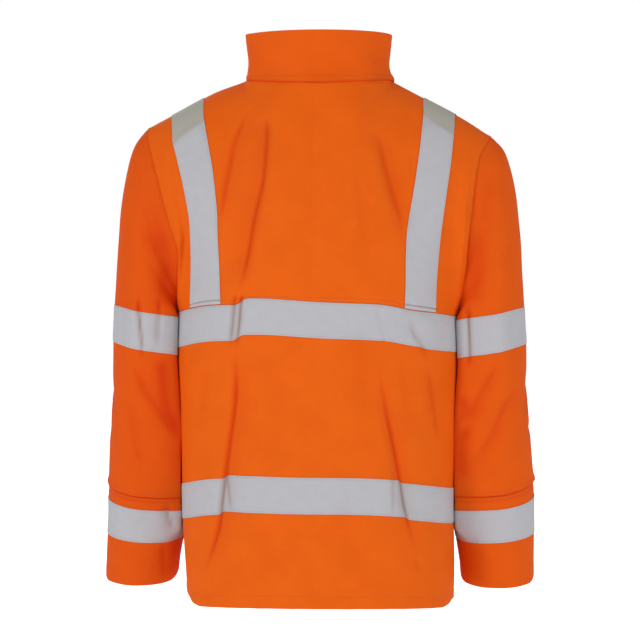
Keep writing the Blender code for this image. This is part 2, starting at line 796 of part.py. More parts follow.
def collar_grid():
    """The collar's outer face, from the wearer's left front edge round the back to the right."""
    columns = [c[2] for c in COLUMNS[: NECK_POINT + 1]]
    around = [(c, True, 1) for c in columns] + [(c, False, 1) for c in reversed(columns[:-1])]
    around += [(c, False, -1) for c in columns[1:]] + [(c, True, -1) for c in reversed(columns[:-1])]
    rows = []
    for share, flare in COLLAR_RINGS:
        row = []
        for column, front, sign in around:
            column = max(column, FRONT_EDGE_X / SHOULDER_POINT.x) if front else column
            place = neck_and_shoulder_point(column, front)
            reach = abs((NECK_FRONT if front else NECK_BACK).y - NECK_POINT_PLACE.y)
            y = place.y - NECK_POINT_PLACE.y
            out = Vector((place.x / NECK_HALF_WIDTH**2, y / reach**2, 0.0)).normalized()
            to_middle = abs(y) / reach
            base = place.z - lerp(COLLAR_LAP_AT_SHOULDER, COLLAR_LAP, to_middle**3)
            top = lerp(COLLAR_TOP_Z, COLLAR_FRONT_TOP_Z, smooth(to_middle)) if front else COLLAR_TOP_Z
            point = place + out * flare
            row.append(Vector((point.x * sign, point.y, lerp(base, top, share))))
        rows.append(row)
    return Grid(rows)


def zip_rows(front, collar, left):
    """Beside the zip on one side: rows of an edge and the next point, with directions out."""
    half = front_half(front, left)
    edge, beside = (0, 1) if left else (-1, -2)
    rows = []
    for grid, first in ((half, 0), (collar, COLLAR_STAND_RING)):
        for points, normals in zip(grid.points[first:], grid.normals[first:]):
            rows.append((points[edge], points[beside], normals[edge], normals[beside]))
    return rows


def zip_strip(rows, xs, depth):
    """A grid at these distances from the middle line, this far behind the front's outer face."""
    points = []
    normals = []
    for edge, beside, edge_out, beside_out in rows:
        shares = [(x - edge.x) / (beside.x - edge.x) for x in xs]
        points.append([lerp(edge, beside, share) for share in shares])
        normals.append([lerp(edge_out, beside_out, share).normalized() for share in shares])
    return Grid(points, normals).moved_out(-depth)


def build_zip(front, collar):
    """The zip's two tapes behind the fronts and its chain between them."""
    depth = CLOTH + ZIP_TAPE_CLEAR
    for side, xs in (
        ("left", (ZIP_TAPE_FROM_X, ZIP_TAPE_TO_X)),
        ("right", (-ZIP_TAPE_TO_X, -ZIP_TAPE_FROM_X)),
    ):
        tape = zip_strip(zip_rows(front, collar, side == "left"), xs, depth)
        tape = tape.shortened(ZIP_END_CLEAR, ZIP_END_CLEAR)
        add_wall(f"zip_tape_{side}", tape, ZIP_TAPE_THICKNESS, "zip")
    line = zip_rows(front, collar, True)
    chain = zip_strip(line, (-CHAIN_HALF_WIDTH, CHAIN_HALF_WIDTH), CHAIN_DEPTH)
    chain = chain.shortened(ZIP_END_CLEAR, SLIDER_BELOW_TOP)
    add_wall("zip_chain", chain, CHAIN_THICKNESS, "zip")
    middle = zip_strip(line, (0.0,), 0.0).points
    return middle[-1][0], (middle[-1][0] - middle[-2][0]).normalized()


def add_box(name, frame, low, high):
    """A box between two corners given across, out and up from a frame."""
    corners = [
        Vector((x, -out, z))
        for x in (low[0], high[0])
        for out in (low[1], high[1])
        for z in (low[2], high[2])
    ]
    faces = ((0, 1, 3, 2), (4, 6, 7, 5), (0, 4, 5, 1), (2, 3, 7, 6), (0, 2, 6, 4), (1, 5, 7, 3))
    return add_piece(name, [frame @ corner for corner in corners], faces, "metal")


def joined(piece, boxes):
    """Unites hidden boxes with a piece."""
    for box in boxes:
        box.hide_render = True
        box.display_type = "WIRE"
        union = piece.modifiers.new(box.name, "BOOLEAN")
        union.operation = "UNION"
        union.object = box
    return piece


def put_origin(piece, place):
    """Sets a piece's origin, here on its joint's axis, and leaves the piece where it is."""
    piece.data.transform(Matrix.Translation(-place * MM))
    piece.location = place * MM


def build_slider(top, up):
    """The zip's slider near the collar's top, and the pull tab that hangs from it."""
    out = Vector((1.0, 0.0, 0.0)).cross(up)
    frame = Matrix.Translation(top - up * SLIDER_BELOW_TOP) @ Matrix(
        ((1.0, 0.0, 0.0), (0.0, -out.y, up.y), (0.0, -out.z, up.z))
    ).to_4x4()
    half_width = SLIDER_WIDTH / 2
    half_height = SLIDER_HEIGHT / 2
    front_face = PLATE_CLEAR - CHAIN_DEPTH + PLATE_THICKNESS
    behind = -(CLOTH + ZIP_TAPE_CLEAR + ZIP_TAPE_THICKNESS + BACK_PLATE_CLEAR)
    plate = add_box(
        "zip_slider",
        frame,
        (-half_width, front_face - PLATE_THICKNESS, -half_height),
        (half_width, front_face, half_height),
    )
    back_plate = add_box(
        "slider_back_plate",
        frame,
        (-half_width, behind - PLATE_THICKNESS, -half_height),
        (half_width, behind, half_height),
    )
    inside = PLATE_THICKNESS / 2
    post = add_box(
        "slider_post",
        frame,
        (-POST_WIDTH / 2, behind - inside, POST_ABOVE),
        (POST_WIDTH / 2, front_face - inside, POST_ABOVE + POST_HEIGHT),
    )
    arch_half = ARCH_WIDTH / 2
    reach = front_face + ARCH_REACH
    bar = add_box(
        "slider_arch",
        frame,
        (-arch_half, reach - ARCH_THICKNESS, -ARCH_HEIGHT / 2),
        (arch_half, reach, ARCH_HEIGHT / 2),
    )
    feet = []
    for end, low in (("lower", -ARCH_HEIGHT / 2), ("upper", ARCH_HEIGHT / 2 - ARCH_THICKNESS)):
        feet.append(
            add_box(
                f"slider_{end}_foot",
                frame,
                (-arch_half, front_face - inside, low),
                (arch_half, reach - ARCH_THICKNESS / 2, low + ARCH_THICKNESS),
            )
        )
    joined(plate, [post, back_plate, *feet, bar])

    axis = front_face + (ARCH_REACH - ARCH_THICKNESS) / 2
    hanging = Matrix.Translation(frame @ Vector((0.0, -axis, 0.0)))
    half_bar = PULL_BAR / 2
    half_pull = PULL_WIDTH / 2
    tab = add_box(
        "zip_pull",
        hanging,
        (-half_pull, -half_bar, -PULL_LENGTH),
        (half_pull, half_bar, -PULL_EYE_HEIGHT),
    )
    arms = [
        add_box(
            f"pull_{side}_arm",
            hanging,
            (low, -half_bar, -PULL_EYE_HEIGHT - half_bar),
            (low + PULL_ARM, half_bar, 0.0),
        )
        for side, low in (("left", half_pull - PULL_ARM), ("right", -half_pull))
    ]
    top_bar = add_box(
        "pull_bar",
        hanging,
        (-half_pull, -half_bar, -half_bar),
        (half_pull, half_bar, half_bar),
    )
    joined(tab, [*arms, top_bar])
    put_origin(tab, hanging.translation)


def main():
    for existing in list(bpy.data.objects):
        bpy.data.objects.remove(existing)
    levels = body_rows()
    chest_row = len(levels) - 1
    back = body_side(False, levels)
    front = body_side(True, levels)
    lower_back = build_back(back, chest_row)
    yoke = build_yoke(back, chest_row)
    add_wall("front_left", front_half(front, True), CLOTH)
    add_wall("front_right", front_half(front, False), CLOTH)
    collar = collar_grid()
    add_wall("collar", collar, CLOTH)
    build_body_tapes(lower_back, front, levels)
    build_braces(yoke, front, chest_row)
    build_sleeve(sleeve_grid(True), "left")
    build_sleeve(sleeve_grid(False), "right")
    top, up = build_zip(front, collar)
    build_slider(top, up)


main()
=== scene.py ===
"""Hi-vis work jacket, dressed over its fixed frame.

Sizes are in millimetres until a mesh is made, which is in metres. +Z is up, the front faces
-Y, and +X is the wearer's left. A form gives a point of the jacket's outer face for each u
and v: u runs rightwards seen from outside, and v runs up. Panels, tape, sewing and the zip
all take their places from the forms, so each lies on what carries it.
"""

import logging
import math
from collections.abc import Callable, Sequence
from dataclasses import dataclass, field
from enum import Enum

import bmesh
import bpy
import numpy as np
from mathutils import Matrix, Vector


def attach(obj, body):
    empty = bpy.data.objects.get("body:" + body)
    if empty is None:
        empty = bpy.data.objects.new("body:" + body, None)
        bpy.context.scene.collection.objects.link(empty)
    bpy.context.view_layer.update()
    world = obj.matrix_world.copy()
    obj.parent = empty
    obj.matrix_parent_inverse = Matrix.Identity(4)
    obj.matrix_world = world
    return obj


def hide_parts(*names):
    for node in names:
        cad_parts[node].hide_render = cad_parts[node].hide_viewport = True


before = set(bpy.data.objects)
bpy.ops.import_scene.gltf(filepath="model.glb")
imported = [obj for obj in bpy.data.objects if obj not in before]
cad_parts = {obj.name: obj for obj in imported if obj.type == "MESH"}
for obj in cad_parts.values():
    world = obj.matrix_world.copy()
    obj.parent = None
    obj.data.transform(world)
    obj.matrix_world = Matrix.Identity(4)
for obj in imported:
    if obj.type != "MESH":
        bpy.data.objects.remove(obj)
LOG = logging.getLogger("jacket")

Array = np.ndarray
BMesh = bmesh.types.BMesh
Material = bpy.types.Material
Socket = bpy.types.NodeSocket

MM = 0.001
CLOTH_WALL = 1.0
TAPE_FACE = 0.85
TAPE_WALL = 0.4
TAPE_WIDTH = 50.0
HALF_GAP = 0.15
FRONT_EDGE_X = 5.0

# How far above each edge its stitches run, below the cuffs' seam, or in from a tape's edges.
HEM_SEWN = 17.0
YOKE_SEWN = 6.0
CUFF_HEM_SEWN = 18.0
CUFF_SEAM_SEWN = 6.5
TAPE_SEWN_IN = 2.2
STITCH_LIFT = 0.12
TAPE_STITCH_LIFT = TAPE_FACE - 0.15


# --- Measures ------------------------------------------------------------------


def smooth(share: Array) -> Array:
    """A share from 0 to 1, eased at both ends."""
    share = np.clip(share, 0.0, 1.0)
    return share * share * (3.0 - 2.0 * share)


def bell(away: Array, width: float) -> Array:
    """A share that is 1 where away is 0, and falls off softly over this width."""
    return np.exp(-((away / width) ** 2))


def window(value: Array, low: float, rise: float, high: float, fall: float) -> Array:
    """A share that eases in over the rise after low, and out over the fall before high."""
    return smooth((value - low) / rise) * smooth((high - value) / fall)


def spread(low: float, high: float, steps: float) -> Array:
    """Even values from low to high, with at least this many steps between them."""
    return np.linspace(low, high, max(2, math.ceil(steps) + 1))


def blend(a: Array | float, b: Array | float, share: Array | float) -> Array | float:
    """The value or point that lies this share of the way from a to b."""
    return a + (b - a) * share


def unit(vectors: Array) -> Array:
    """The vectors, each drawn to a length of one."""
    return vectors / np.maximum(np.linalg.norm(vectors, axis=-1, keepdims=True), 1e-9)


def stack(x: Array, y: Array, z: Array) -> Array:
    """Points from their three coordinates."""
    return np.stack(np.broadcast_arrays(x, y, z), axis=-1).astype(float)


def runs(points: Array, axis: int) -> Array:
    """How far along its row or column each point of a grid lies.

    Args:
        points: a grid of points.
        axis: 0 to measure up the columns, 1 to measure along the rows.

    Returns:
        The lengths from the first point.
    """
    steps = np.linalg.norm(np.diff(points, axis=axis), axis=-1)
    lengths = np.cumsum(steps, axis=axis)
    start = np.zeros_like(np.take(lengths, [0], axis=axis))
    return np.concatenate((start, lengths), axis=axis)


def curved(start: Array, end: Array, leave: Array, arrive: Array, share: Array,
           span: Array | float = 1.0) -> Array:
    """Values on a smooth curve.

    Args:
        start: the values at its start.
        end: the values at its end.
        leave: the slopes at its start.
        arrive: the slopes at its end.
        share: how far along it to read, from 0 to 1.
        span: its length, in the slopes' unit.

    Returns:
        The values at each share.
    """
    rise = 2 * share**3 - 3 * share**2 + 1
    lead = (share**3 - 2 * share**2 + share) * span
    trail = (share**3 - share**2) * span
    return start * rise + end * (1 - rise) + leave * lead + arrive * trail


def read_line(line: Array, lengths: Array, where: Array | float) -> Array:
    """A line's places or directions, read where this far along it."""
    return np.stack([np.interp(where, lengths, part) for part in line.T], axis=-1)


class Table:
    """A short table of sizes, read on a smooth curve through its rows."""

    def __init__(self, *rows: tuple[float, ...]) -> None:
        """Keeps the rows, each a key and its values, and the curve's slope at each."""
        sizes = np.array(rows, dtype=float)
        self.keys = sizes[:, 0]
        self.values = sizes[:, 1:]
        last = len(sizes) - 1
        high = np.minimum(np.arange(last + 1) + 1, last)
        low = np.maximum(np.arange(last + 1) - 1, 0)
        spans = (self.keys[high] - self.keys[low])[:, None]
        self.slopes = (self.values[high] - self.values[low]) / spans

    def at(self, key: Array | float) -> Array:
        """The values at each key, in a last axis of their own.

        Args:
            key: where to read the table.

        Returns:
            One row of values for each key.
        """
        key = np.clip(key, self.keys[0], self.keys[-1])
        after = np.clip(np.searchsorted(self.keys, key), 1, len(self.keys) - 1)
        before = after - 1
        span = self.keys[after] - self.keys[before]
        share = ((key - self.keys[before]) / span)[..., None]
        return curved(self.values[before], self.values[after], self.slopes[before],
                      self.slopes[after], share, span[..., None])


# --- Creases -------------------------------------------------------------------


class View(Enum):
    """A side of the jacket that creases are laid out on, by the way it faces."""

    BACK = (0.0, 1.0)
    FRONT = (0.0, -1.0)
    LEFT = (1.0, 0.0)
    RIGHT = (-1.0, 0.0)

    def rightwards(self, points: Array) -> Array:
        """How far right each point lies, seen square on."""
        x, y = self.value
        return points[..., 1] * x - points[..., 0] * y

    def facing(self, normals: Array) -> Array:
        """How squarely each direction faces this side, from 0 to 1."""
        x, y = self.value
        return np.sqrt(np.clip(normals[..., 0] * x + normals[..., 1] * y, 0.0, 1.0))


@dataclass(frozen=True)
class Crease:
    """A soft trough or ridge along a line, with a wall of its own width on either side.

    The line's places are how far right and how high, seen square on, from its upper end. A
    ridge has a negative depth. Pinch is a narrow fold's depth along the line, and the value after
    its width is how much painted shade a millimetre of it gives the cloth's colour; the trough
    paints a little shade too. Slip is how far the cloth to the right is drawn up, on a ramp across
    the line.
    """

    view: View
    line: tuple[tuple[float, float], ...]
    depth: float
    left: float
    right: float
    fades: tuple[float, float] = (0.3, 0.3)
    pinch: float = 0.0
    pinch_width: float = 2.6
    # How much painted shade a millimetre of pinch gives the cloth's colour.
    shade_tone: float = 0.42
    slip: float = 0.0
    slip_reach: float = 55.0
    slip_ramp: float = 14.0

    def curve(self) -> Array:
        """The line as a smooth run of short steps."""
        table = Table(*((i, *place) for i, place in enumerate(self.line)))
        return table.at(np.linspace(0.0, len(self.line) - 1.0, 6 * len(self.line)))

    def press(self, points: Array, normals: Array) -> Array:
        """How the crease moves and marks the cloth.

        Args:
            points: places on the uncreased form.
            normals: the form's directions out.

        Returns:
            How far each point moves out, how far up, and how much painted shade it gets, from 0 to
            1.
        """
        right = self.view.rightwards(points)
        curve = self.curve()
        reach = 2.6 * max(self.left, self.right, self.slip_reach if self.slip else 0.0)
        low = curve.min(axis=0) - reach
        high = curve.max(axis=0) + reach
        height = points[..., 2]
        near = (right > low[0]) & (right < high[0]) & (height > low[1]) & (height < high[1])
        out, up, painted_shade = moved = np.zeros((3, *right.shape))
        if not near.any():
            return moved
        places = np.stack((right[near], height[near]), axis=-1)[:, None]
        steps = np.diff(curve, axis=0)
        away = places - curve[:-1]
        along = np.clip((away * steps).sum(-1) / (steps**2).sum(-1), 0.0, 1.0)
        away = away - along[..., None] * steps
        gaps = (away**2).sum(-1)
        nearest = gaps.argmin(axis=1)
        rows = np.arange(len(nearest))
        gap = np.sqrt(gaps[rows, nearest])
        step = steps[nearest]
        off = away[rows, nearest]
        side = off[:, 1] * step[:, 0] - off[:, 0] * step[:, 1]
        share = (nearest + along[rows, nearest]) / len(steps)
        fade = window(share, 0.0, self.fades[0], 1.0, self.fades[1])
        fade = fade * self.view.facing(normals[near])
        wall = np.where(side < 0.0, self.left, self.right)
        trough = self.depth * bell(gap, wall) * fade
        fold = self.pinch * bell(gap, self.pinch_width) * fade
        out[near] = -trough - fold
        # Painted shade: the colour darkens in troughs and pinched folds.
        painted_shade[near] = np.clip(trough * 0.07 + fold * self.shade_tone, 0.0, None)
        if self.slip:
            down = curve[::-1] if curve[0, 1] > curve[-1, 1] else curve
            across = right[near] - np.interp(height[near], down[:, 1], down[:, 0])
            share = (curve[0, 1] - height[near]) / (curve[0, 1] - curve[-1, 1])
            fade = window(share, 0.0, self.fades[0], 1.0, self.fades[1])
            drawn = bell(np.maximum(across, 0.0), self.slip_reach)
            drawn = drawn * smooth(across / self.slip_ramp + 0.5)
            up[near] = self.slip * drawn * fade * self.view.facing(normals[near])
        return moved


def creases_on(view: View, *rows: tuple[object, ...]) -> tuple[Crease, ...]:
    """Creases laid out on one side of the jacket, each a row of its values in order."""
    return tuple(Crease(view, *row) for row in rows)


def puff(away: Array, height: float, reach: float, seam: float = 2.5) -> Array:
    """The swell of cloth this far away from a seam, which holds it down over its own width."""
    return height * (1.0 - bell(away, seam)) * bell(away, reach)


def tape_height(from_low: Array, from_high: Array, width: float = 0.9) -> Array:
    """How far a tape's face stands off the cloth, pulled in where it is sewn."""
    nearest = np.minimum(from_low, from_high)
    return TAPE_FACE - 0.28 * bell(nearest - TAPE_SEWN_IN, width)


def slack(points: Array, size: float) -> Array:
    """The slow, uneven swell of loose cloth.

    Args:
        points: places on the form.
        size: the swell's greatest height.

    Returns:
        How far each point moves out.
    """
    waves = (
        (0.051, 0.023, 0.018, 0.4),
        (-0.034, 0.041, 0.031, 1.9),
        (0.027, -0.036, -0.052, 3.1),
        (0.083, 0.014, 0.027, 5.2),
        (-0.061, -0.047, 0.079, 2.6),
    )
    total = np.zeros(points.shape[:-1])
    for x, y, z, phase in waves:
        total += np.sin(points[..., 0] * x + points[..., 1] * y + points[..., 2] * z + phase)
    return total * size / len(waves)


# --- Forms ---------------------------------------------------------------------

CHEST_Z = -313.0
BODY_SECTIONS = Table(
    # z, half_width, back_depth, front_depth
    (-725.0, 188.0, 131.0, 144.0),
    (-590.0, 190.5, 135.0, 148.0),
    (-450.0, 193.0, 138.0, 150.0),
    (-313.0, 194.0, 140.0, 150.0),
)
NECK_POINT = np.array((100.0, 5.0, -2.0))
NECK_BACK = np.array((0.0, 78.0, -8.0))
NECK_FRONT = np.array((0.0, -95.0, -60.0))
SHOULDER_POINT = np.array((240.0, -5.0, -76.0))
ARMPIT = np.array((194.0, 0.0, -330.0))
ARMHOLE_INWARDS = Table(
    # z, left, right
    (-330.0, 0.0, 0.0),
    (-300.0, 7.0, 0.0),
    (-270.0, 15.0, 1.0),
    (-245.0, 20.0, 3.0),
    (-207.0, 15.0, 6.0),
    (-161.0, 10.0, 9.0),
    (-133.0, 6.5, 10.5),
    (-108.0, 3.0, 10.0),
    (-95.0, 1.5, 7.0),
    (-76.0, 0.0, 0.0),
)


def armhole(turn: Array, left: Array) -> Array:
    """An armhole's points, at turns from the armpit past the back to the shoulder.

    Args:
        turn: the turns, with those past the front below zero.
        left: whether each point is on the left armhole, whose line lies further in.

    Returns:
        The points, all with x towards the sleeve.
    """
    middle = (SHOULDER_POINT + ARMPIT) / 2
    along = SHOULDER_POINT - middle
    power = np.where(np.cos(turn) > 0.0, 2.0 / 1.5, 1.0)
    up = -np.copysign(np.abs(np.cos(turn)) ** power, np.cos(turn))
    out = np.copysign(np.abs(np.sin(turn)) ** power, np.sin(turn))
    points = middle + along * up[..., None] + stack(0.0, 68.0 * out, 0.0)
    inwards = np.where(left, *np.moveaxis(ARMHOLE_INWARDS.at(points[..., 2]), -1, 0))
    inwards = inwards * smooth(np.abs(np.sin(turn)) / 0.3)
    return points + stack(-inwards, 0.75 * inwards * np.sign(np.sin(turn)), 0.0)


CUFF_RISE = Table(
    # z, left, right
    (-725.0, 0.0, 0.0),
    (-700.0, 0.0, 0.0),
    (-655.0, 3.5, 8.0),
    (-600.0, 2.5, 9.0),
    (-577.0, 4.0, 13.0),
    (-548.0, 4.0, 12.0),
    (-500.0, 1.5, 5.0),
    (-470.0, 0.0, 0.0),
)


LEFT_RISE = (4.0, 9.0)  # at the armpit, at the shoulder
LEFT_CUFF_OUT = 6.5
LEFT_HEM_IN = 3.5
# Where one side is drawn in or out: the size, middle and width of each.
RIGHT_SHOULDER_DIP = (4.5, -238.0, 24.0)
CHEST_SPREAD = (5.5, -384.0, 85.0)
RIGHT_WAIST_DRAW = (3.0, -590.0, 65.0)


def worn(points: Array, sleeve: bool) -> Array:
    """The points on the jacket as worn, which is a little different on its two sides.

    The left side hangs higher, the sleeves are pushed up above the cuffs, the body is wider
    below the chest tape, and the left cuff hangs further out at its hem than the body does.

    Args:
        points: places on the even form.
        sleeve: whether they are on a sleeve.

    Returns:
        The places as worn.
    """
    x, z = points[..., 0], points[..., 2]
    share = smooth((x - 85.0) / 70.0) * smooth((z + 725.0) / 120.0)
    up = smooth((z - ARMPIT[2]) / (SHOULDER_POINT[2] - ARMPIT[2]))
    rise = share * blend(*LEFT_RISE, up)
    size, middle, width = RIGHT_SHOULDER_DIP
    rise -= size * bell(x - middle, width) * smooth((z + 140.0) / 60.0)
    low = smooth((-610.0 - z) / 100.0) * smooth(x / 188.0)
    if sleeve:
        rise += np.where(x > 0.0, *np.moveaxis(CUFF_RISE.at(z), -1, 0))
    beside = smooth(np.abs(x) / 188.0) * smooth((290.0 - np.abs(x)) / 90.0)
    size, middle, width = CHEST_SPREAD
    out = size * bell(z - middle, width) * np.sign(x)
    size, middle, width = RIGHT_WAIST_DRAW
    out += size * bell(z - middle, width) * (x < 0.0)
    low_out = LEFT_CUFF_OUT if sleeve else -LEFT_HEM_IN
    return points + stack(out * beside + low * low_out, 0.0, rise)


class Form:
    """A face of the jacket: places and directions out, for each u and v."""

    steps = (0.004, 0.6)
    limits = ((-1.0, 1.0), (0.0, 1.0))
    creases: tuple[Crease, ...] = ()
    swell = 0.45
    on_sleeve = False

    def base(self, u: Array, v: Array) -> Array:
        """The plain form, without creases."""
        raise NotImplementedError

    def settle(self, u: Array, v: Array, points: Array, normals: Array) -> Array:
        """How far seams and hems move each point out."""
        return np.zeros_like(u)

    def loose(self, u: Array, v: Array) -> Array:
        """How free the cloth is to crease, from 0 at a seam to 1."""
        return np.ones_like(u)

    def outwards(self, face: Callable[[Array, Array], Array], u: Array, v: Array) -> Array:
        """The directions out of a face at each u and v."""
        (left, right), (low, high) = self.limits
        across, up = self.steps
        along_u = face(np.minimum(u + across, right), v) - face(np.maximum(u - across, left), v)
        along_v = face(u, np.minimum(v + up, high)) - face(u, np.maximum(v - up, low))
        return unit(np.cross(along_u, along_v))

    def creases_and_painted_shade(self, points: Array, normals: Array) -> Array:
        """How far all of the creases move each point out and up, and the painted shade they give
        it.
        """
        return sum(crease.press(points, normals) for crease in self.creases)

    def place(self, u: Array, v: Array) -> Array:
        """The places of the cloth's outer face, with its creases, as worn."""
        points = self.base(u, v)
        normals = self.outwards(self.base, u, v)
        out, up, _ = self.creases_and_painted_shade(points, normals)
        free = self.loose(u, v)
        out = (out + slack(points, self.swell)) * free + self.settle(u, v, points, normals)
        points = points + normals * out[..., None] + stack(0.0, 0.0, up * free)
        return worn(points, self.on_sleeve)

    def painted_shade(self, u: Array, v: Array) -> Array:
        """How much painted shade each place gets in the creases, from 0 to 1 at the bottom of a
        deep one.
        """
        u, v = (np.array(part, dtype=float) for part in np.broadcast_arrays(u, v))
        points = self.base(u, v)
        deep = self.creases_and_painted_shade(points, self.outwards(self.base, u, v))[2]
        return np.clip(deep * self.loose(u, v), 0.0, 1.0)

    def face(self, u: Array, v: Array) -> tuple[Array, Array]:
        """The places of the cloth's outer face and its directions out.

        Args:
            u: how far rightwards, seen from outside.
            v: how far up.

        Returns:
            The places and the directions, in the shape that u and v make together.
        """
        u, v = (np.array(part, dtype=float) for part in np.broadcast_arrays(u, v))
        return self.place(u, v), self.outwards(self.place, u, v)

    def lifted(self, u: Array, v: Array, height: Array | float) -> Array:
        """Places this far out from the cloth's outer face."""
        points, normals = self.face(u, v)
        return points + normals * np.broadcast_to(height, points.shape[:-1])[..., None]


BACK_CREASES = creases_on(
    View.BACK,
    # line, depth, left, right, fades, pinch, pinch_width, pinch's painted shade, slip, slip_reach,
    # slip_ramp
    (((-68.8, -53.5), (-66.6, -75), (-66.9, -97.7), (-69.4, -142.5), (-75.7, -174.8),
     (-81.6, -201.2), (-86, -230.6), (-90.1, -254.1), (-100.5, -304)), 4, 22, 7, (0.15, 0.12), 1.9),
    (((-84, -38), (-96, -56), (-104, -74.1), (-110.7, -95.1), (-115.4, -121.9), (-120.4, -152.7),
     (-123.7, -175.3), (-126.9, -197.6), (-128.5, -219.5)), 2.8, 6, 14, (0.3, 0.3), 1.5),
    (((-96.5, -46.3), (-110, -75.1), (-117.9, -99.5), (-123.1, -123.2)), -1.8, 8, 6, (0.3, 0.4)),
    (((79.2, -75.2), (89.2, -93.5), (97, -123.9), (104.6, -150.9), (110.5, -171.7), (116.6, -193.8),
     (119.5, -216), (122, -250)), 4.2, 8, 15, (0.25, 0.4), 1.3),
    (((62.5, -120.9), (62.9, -157.9), (67.5, -187.3), (69.1, -216.6), (76.5, -258.2)), 2.2, 8, 13),
    (((130.5, -105.7), (132.1, -142)), 1.4, 4, 6),
    (((-200.7, -100.7), (-176.8, -87.5), (-154, -73.1)), -2.6, 14, 5),
    (((146.4, -65.4), (162.9, -73.1), (191, -82.9)), -2.6, 14, 5),
    (((-104, -300), (-106.3, -315), (-107.9, -339.3), (-110.5, -377.4)), 2.4, 4, 9, (0.2, 0.2),
     1.7),
    (((-94.5, -300), (-97.1, -318), (-98.5, -345), (-102, -377)), 0.8, 4, 6, (0.2, 0.2), 2.3, 2.6,
     0.42, 8.6, 85, 18),
    (((84.5, -318), (86.2, -331.4), (92.6, -361), (93.5, -372)), 1.2, 3, 5),
    (((127, -325), (132.2, -349.5), (143.7, -368.9), (150, -392)), 2, 6, 9, (0.3, 0.3), 0.8, 2.6,
     0.42, -2.6, 60, 20),
    (((108, -262), (112, -330), (116, -430)), 0, 4, 4, (0.35, 0.5), 0, 2.6, 0.42, -5, 130, 50),
    (((-102.6, -374.5), (-105.5, -445.1), (-117.1, -516.8), (-122.8, -555.4), (-125.7, -578.9),
     (-129, -605.2), (-132.9, -626.5), (-146.3, -661.5), (-155.4, -682.1)), 4.2, 6, 18,
     (0.12, 0.25), 2.4, 2.6, 0.42, 4.6, 60, 8),
    (((-121, -540), (-118, -566), (-112, -604)), 0, 4, 4, (0.3, 0.3), 1.4),
    (((84.3, -389.8), (94.9, -443.7), (108, -500), (119.5, -552), (124, -579), (130, -605.1),
     (142.9, -661.4)), 4.8, 10, 15, (0.3, 0.25), 2.4, 2.6, 0.42, -3.4, 75, 9),
    (((107.5, -540), (108.5, -570), (108, -602)), 0, 4, 4, (0.3, 0.3), 1),
    (((60, -330), (64, -400), (72, -480)), 1.8, 12, 12),
    (((118, -372), (124, -430), (130, -500)), 2, 10, 10),
    (((-60, -600), (-68, -650), (-72, -710)), 1.6, 12, 12),
    (((148.3, -390.2), (156.3, -431.1), (164.4, -472.2), (168, -500)), 3, 7, 9, (0.3, 0.3), 0.9),
    (((-142, -392), (-150, -436), (-156, -470)), 1.8, 7, 9),
    (((137.5, -657.8), (145.4, -680.3)), 2, 4, 6),
    (((74.8, -687.1), (90, -688), (104.1, -686)), 1, 4, 4),
    (((-40, -400), (-52, -470), (-58, -540)), 1.4, 14, 18),
    (((38, -560), (47, -620), (50, -690)), 1.4, 12, 15),
)
FRONT_CREASES = creases_on(
    View.FRONT,
    (((66, -100), (78, -150), (94, -240), (106, -320), (118, -390)), 4.4, 7, 15, (0.25, 0.3)),
    (((-80, -115), (-92, -180), (-104, -260), (-110, -360), (-112, -470)), 4.4, 15, 7, (0.25, 0.3)),
    (((112, -430), (101, -480), (100, -540), (112, -600), (126, -650)), 4.2, 8, 14),
    (((-58, -540), (-74, -590), (-86, -640), (-96, -690)), 3.2, 12, 7),
    (((-138, -150), (-144, -200), (-150, -250)), 2, 6, 10),
    (((122, -120), (132, -160), (138, -210)), 2, 10, 6),
    (((34, -210), (42, -290), (45, -370)), 1.4, 9, 14),
    (((-36, -180), (-42, -240), (-52, -320)), 1.3, 13, 9),
    (((150, -400), (158, -450), (160, -500)), 2.2, 8, 8),
    (((-150, -410), (-158, -470), (-160, -540)), 2.4, 8, 8),
    (((46, -470), (52, -540), (50, -620)), 1.5, 12, 9),
)
# Rows with a wide, shallow pinch and a strong pinch shade are mostly painted shade, with little
# relief.
SLEEVE_LEFT_CREASES = creases_on(
    View.BACK,
    (((-245, -306), (-243, -330), (-239, -360), (-237, -398)), 0.8, 4, 7, (0.25, 0.3), 2.4),
    (((-214, -306), (-215, -340), (-216, -384)), 0.8, 6, 4, (0.25, 0.3), 1.9),
    (((-209, -386), (-207, -413), (-205, -455), (-197, -480), (-186, -512)), 1.6, 9, 10, (0.2, 0.2),
     0.7, 9, 0.8),
    (((-224, -150), (-210, -215), (-204, -270), (-202, -330)), 0.4, 12, 12, (0.4, 0.1), 0.5, 19,
     0.9),
    (((-199, -640), (-197, -665), (-196, -700)), 0.8, 6, 6, (0.2, 0.1), 0.5, 7, 0.7),
    (((-218, -650), (-214, -680), (-213, -700)), 0.8, 5, 6, (0.3, 0.2), 0.8, 3.5),
    (((-214, -596), (-210, -615), (-203, -640)), 1.6, 8, 5, (0.3, 0.3), 1.4),
    (((-186, -226.9), (-215, -230), (-249.3, -231.4)), 2.4, 9, 6),
    (((-191.8, -232.1), (-212, -240), (-231.9, -250.4)), 2.2, 6, 9),
    (((-254, -396), (-237, -433), (-213, -470), (-191, -512)), 3.6, 6, 13, (0.3, 0.3), 0.5),
    (((-267, -438), (-255, -500), (-242, -562)), 3, 6, 12),
    (((-205, -255), (-207, -285), (-206, -315)), 2, 9, 9),
    (((-262, -300), (-266, -340), (-268, -385)), 1.2, 9, 12),
    (((-232, -604), (-244, -620), (-262, -632)), 1.2, 5, 5),
) + creases_on(
    View.LEFT,
    (((-18, -410), (8, -440), (30, -480)), 3, 8, 12),
    (((-40, -455), (-20, -480), (8, -500)), 2.6, 7, 10),
    (((-10, -180), (-14, -240), (-8, -300)), 1.6, 10, 14),
) + creases_on(
    View.FRONT,
    (((214, -400), (232, -440), (256, -462)), 3.2, 8, 11),
    (((206, -455), (226, -490), (258, -508)), 3.4, 8, 12),
    (((212, -220), (228, -250), (236, -300)), 2.2, 7, 10),
)
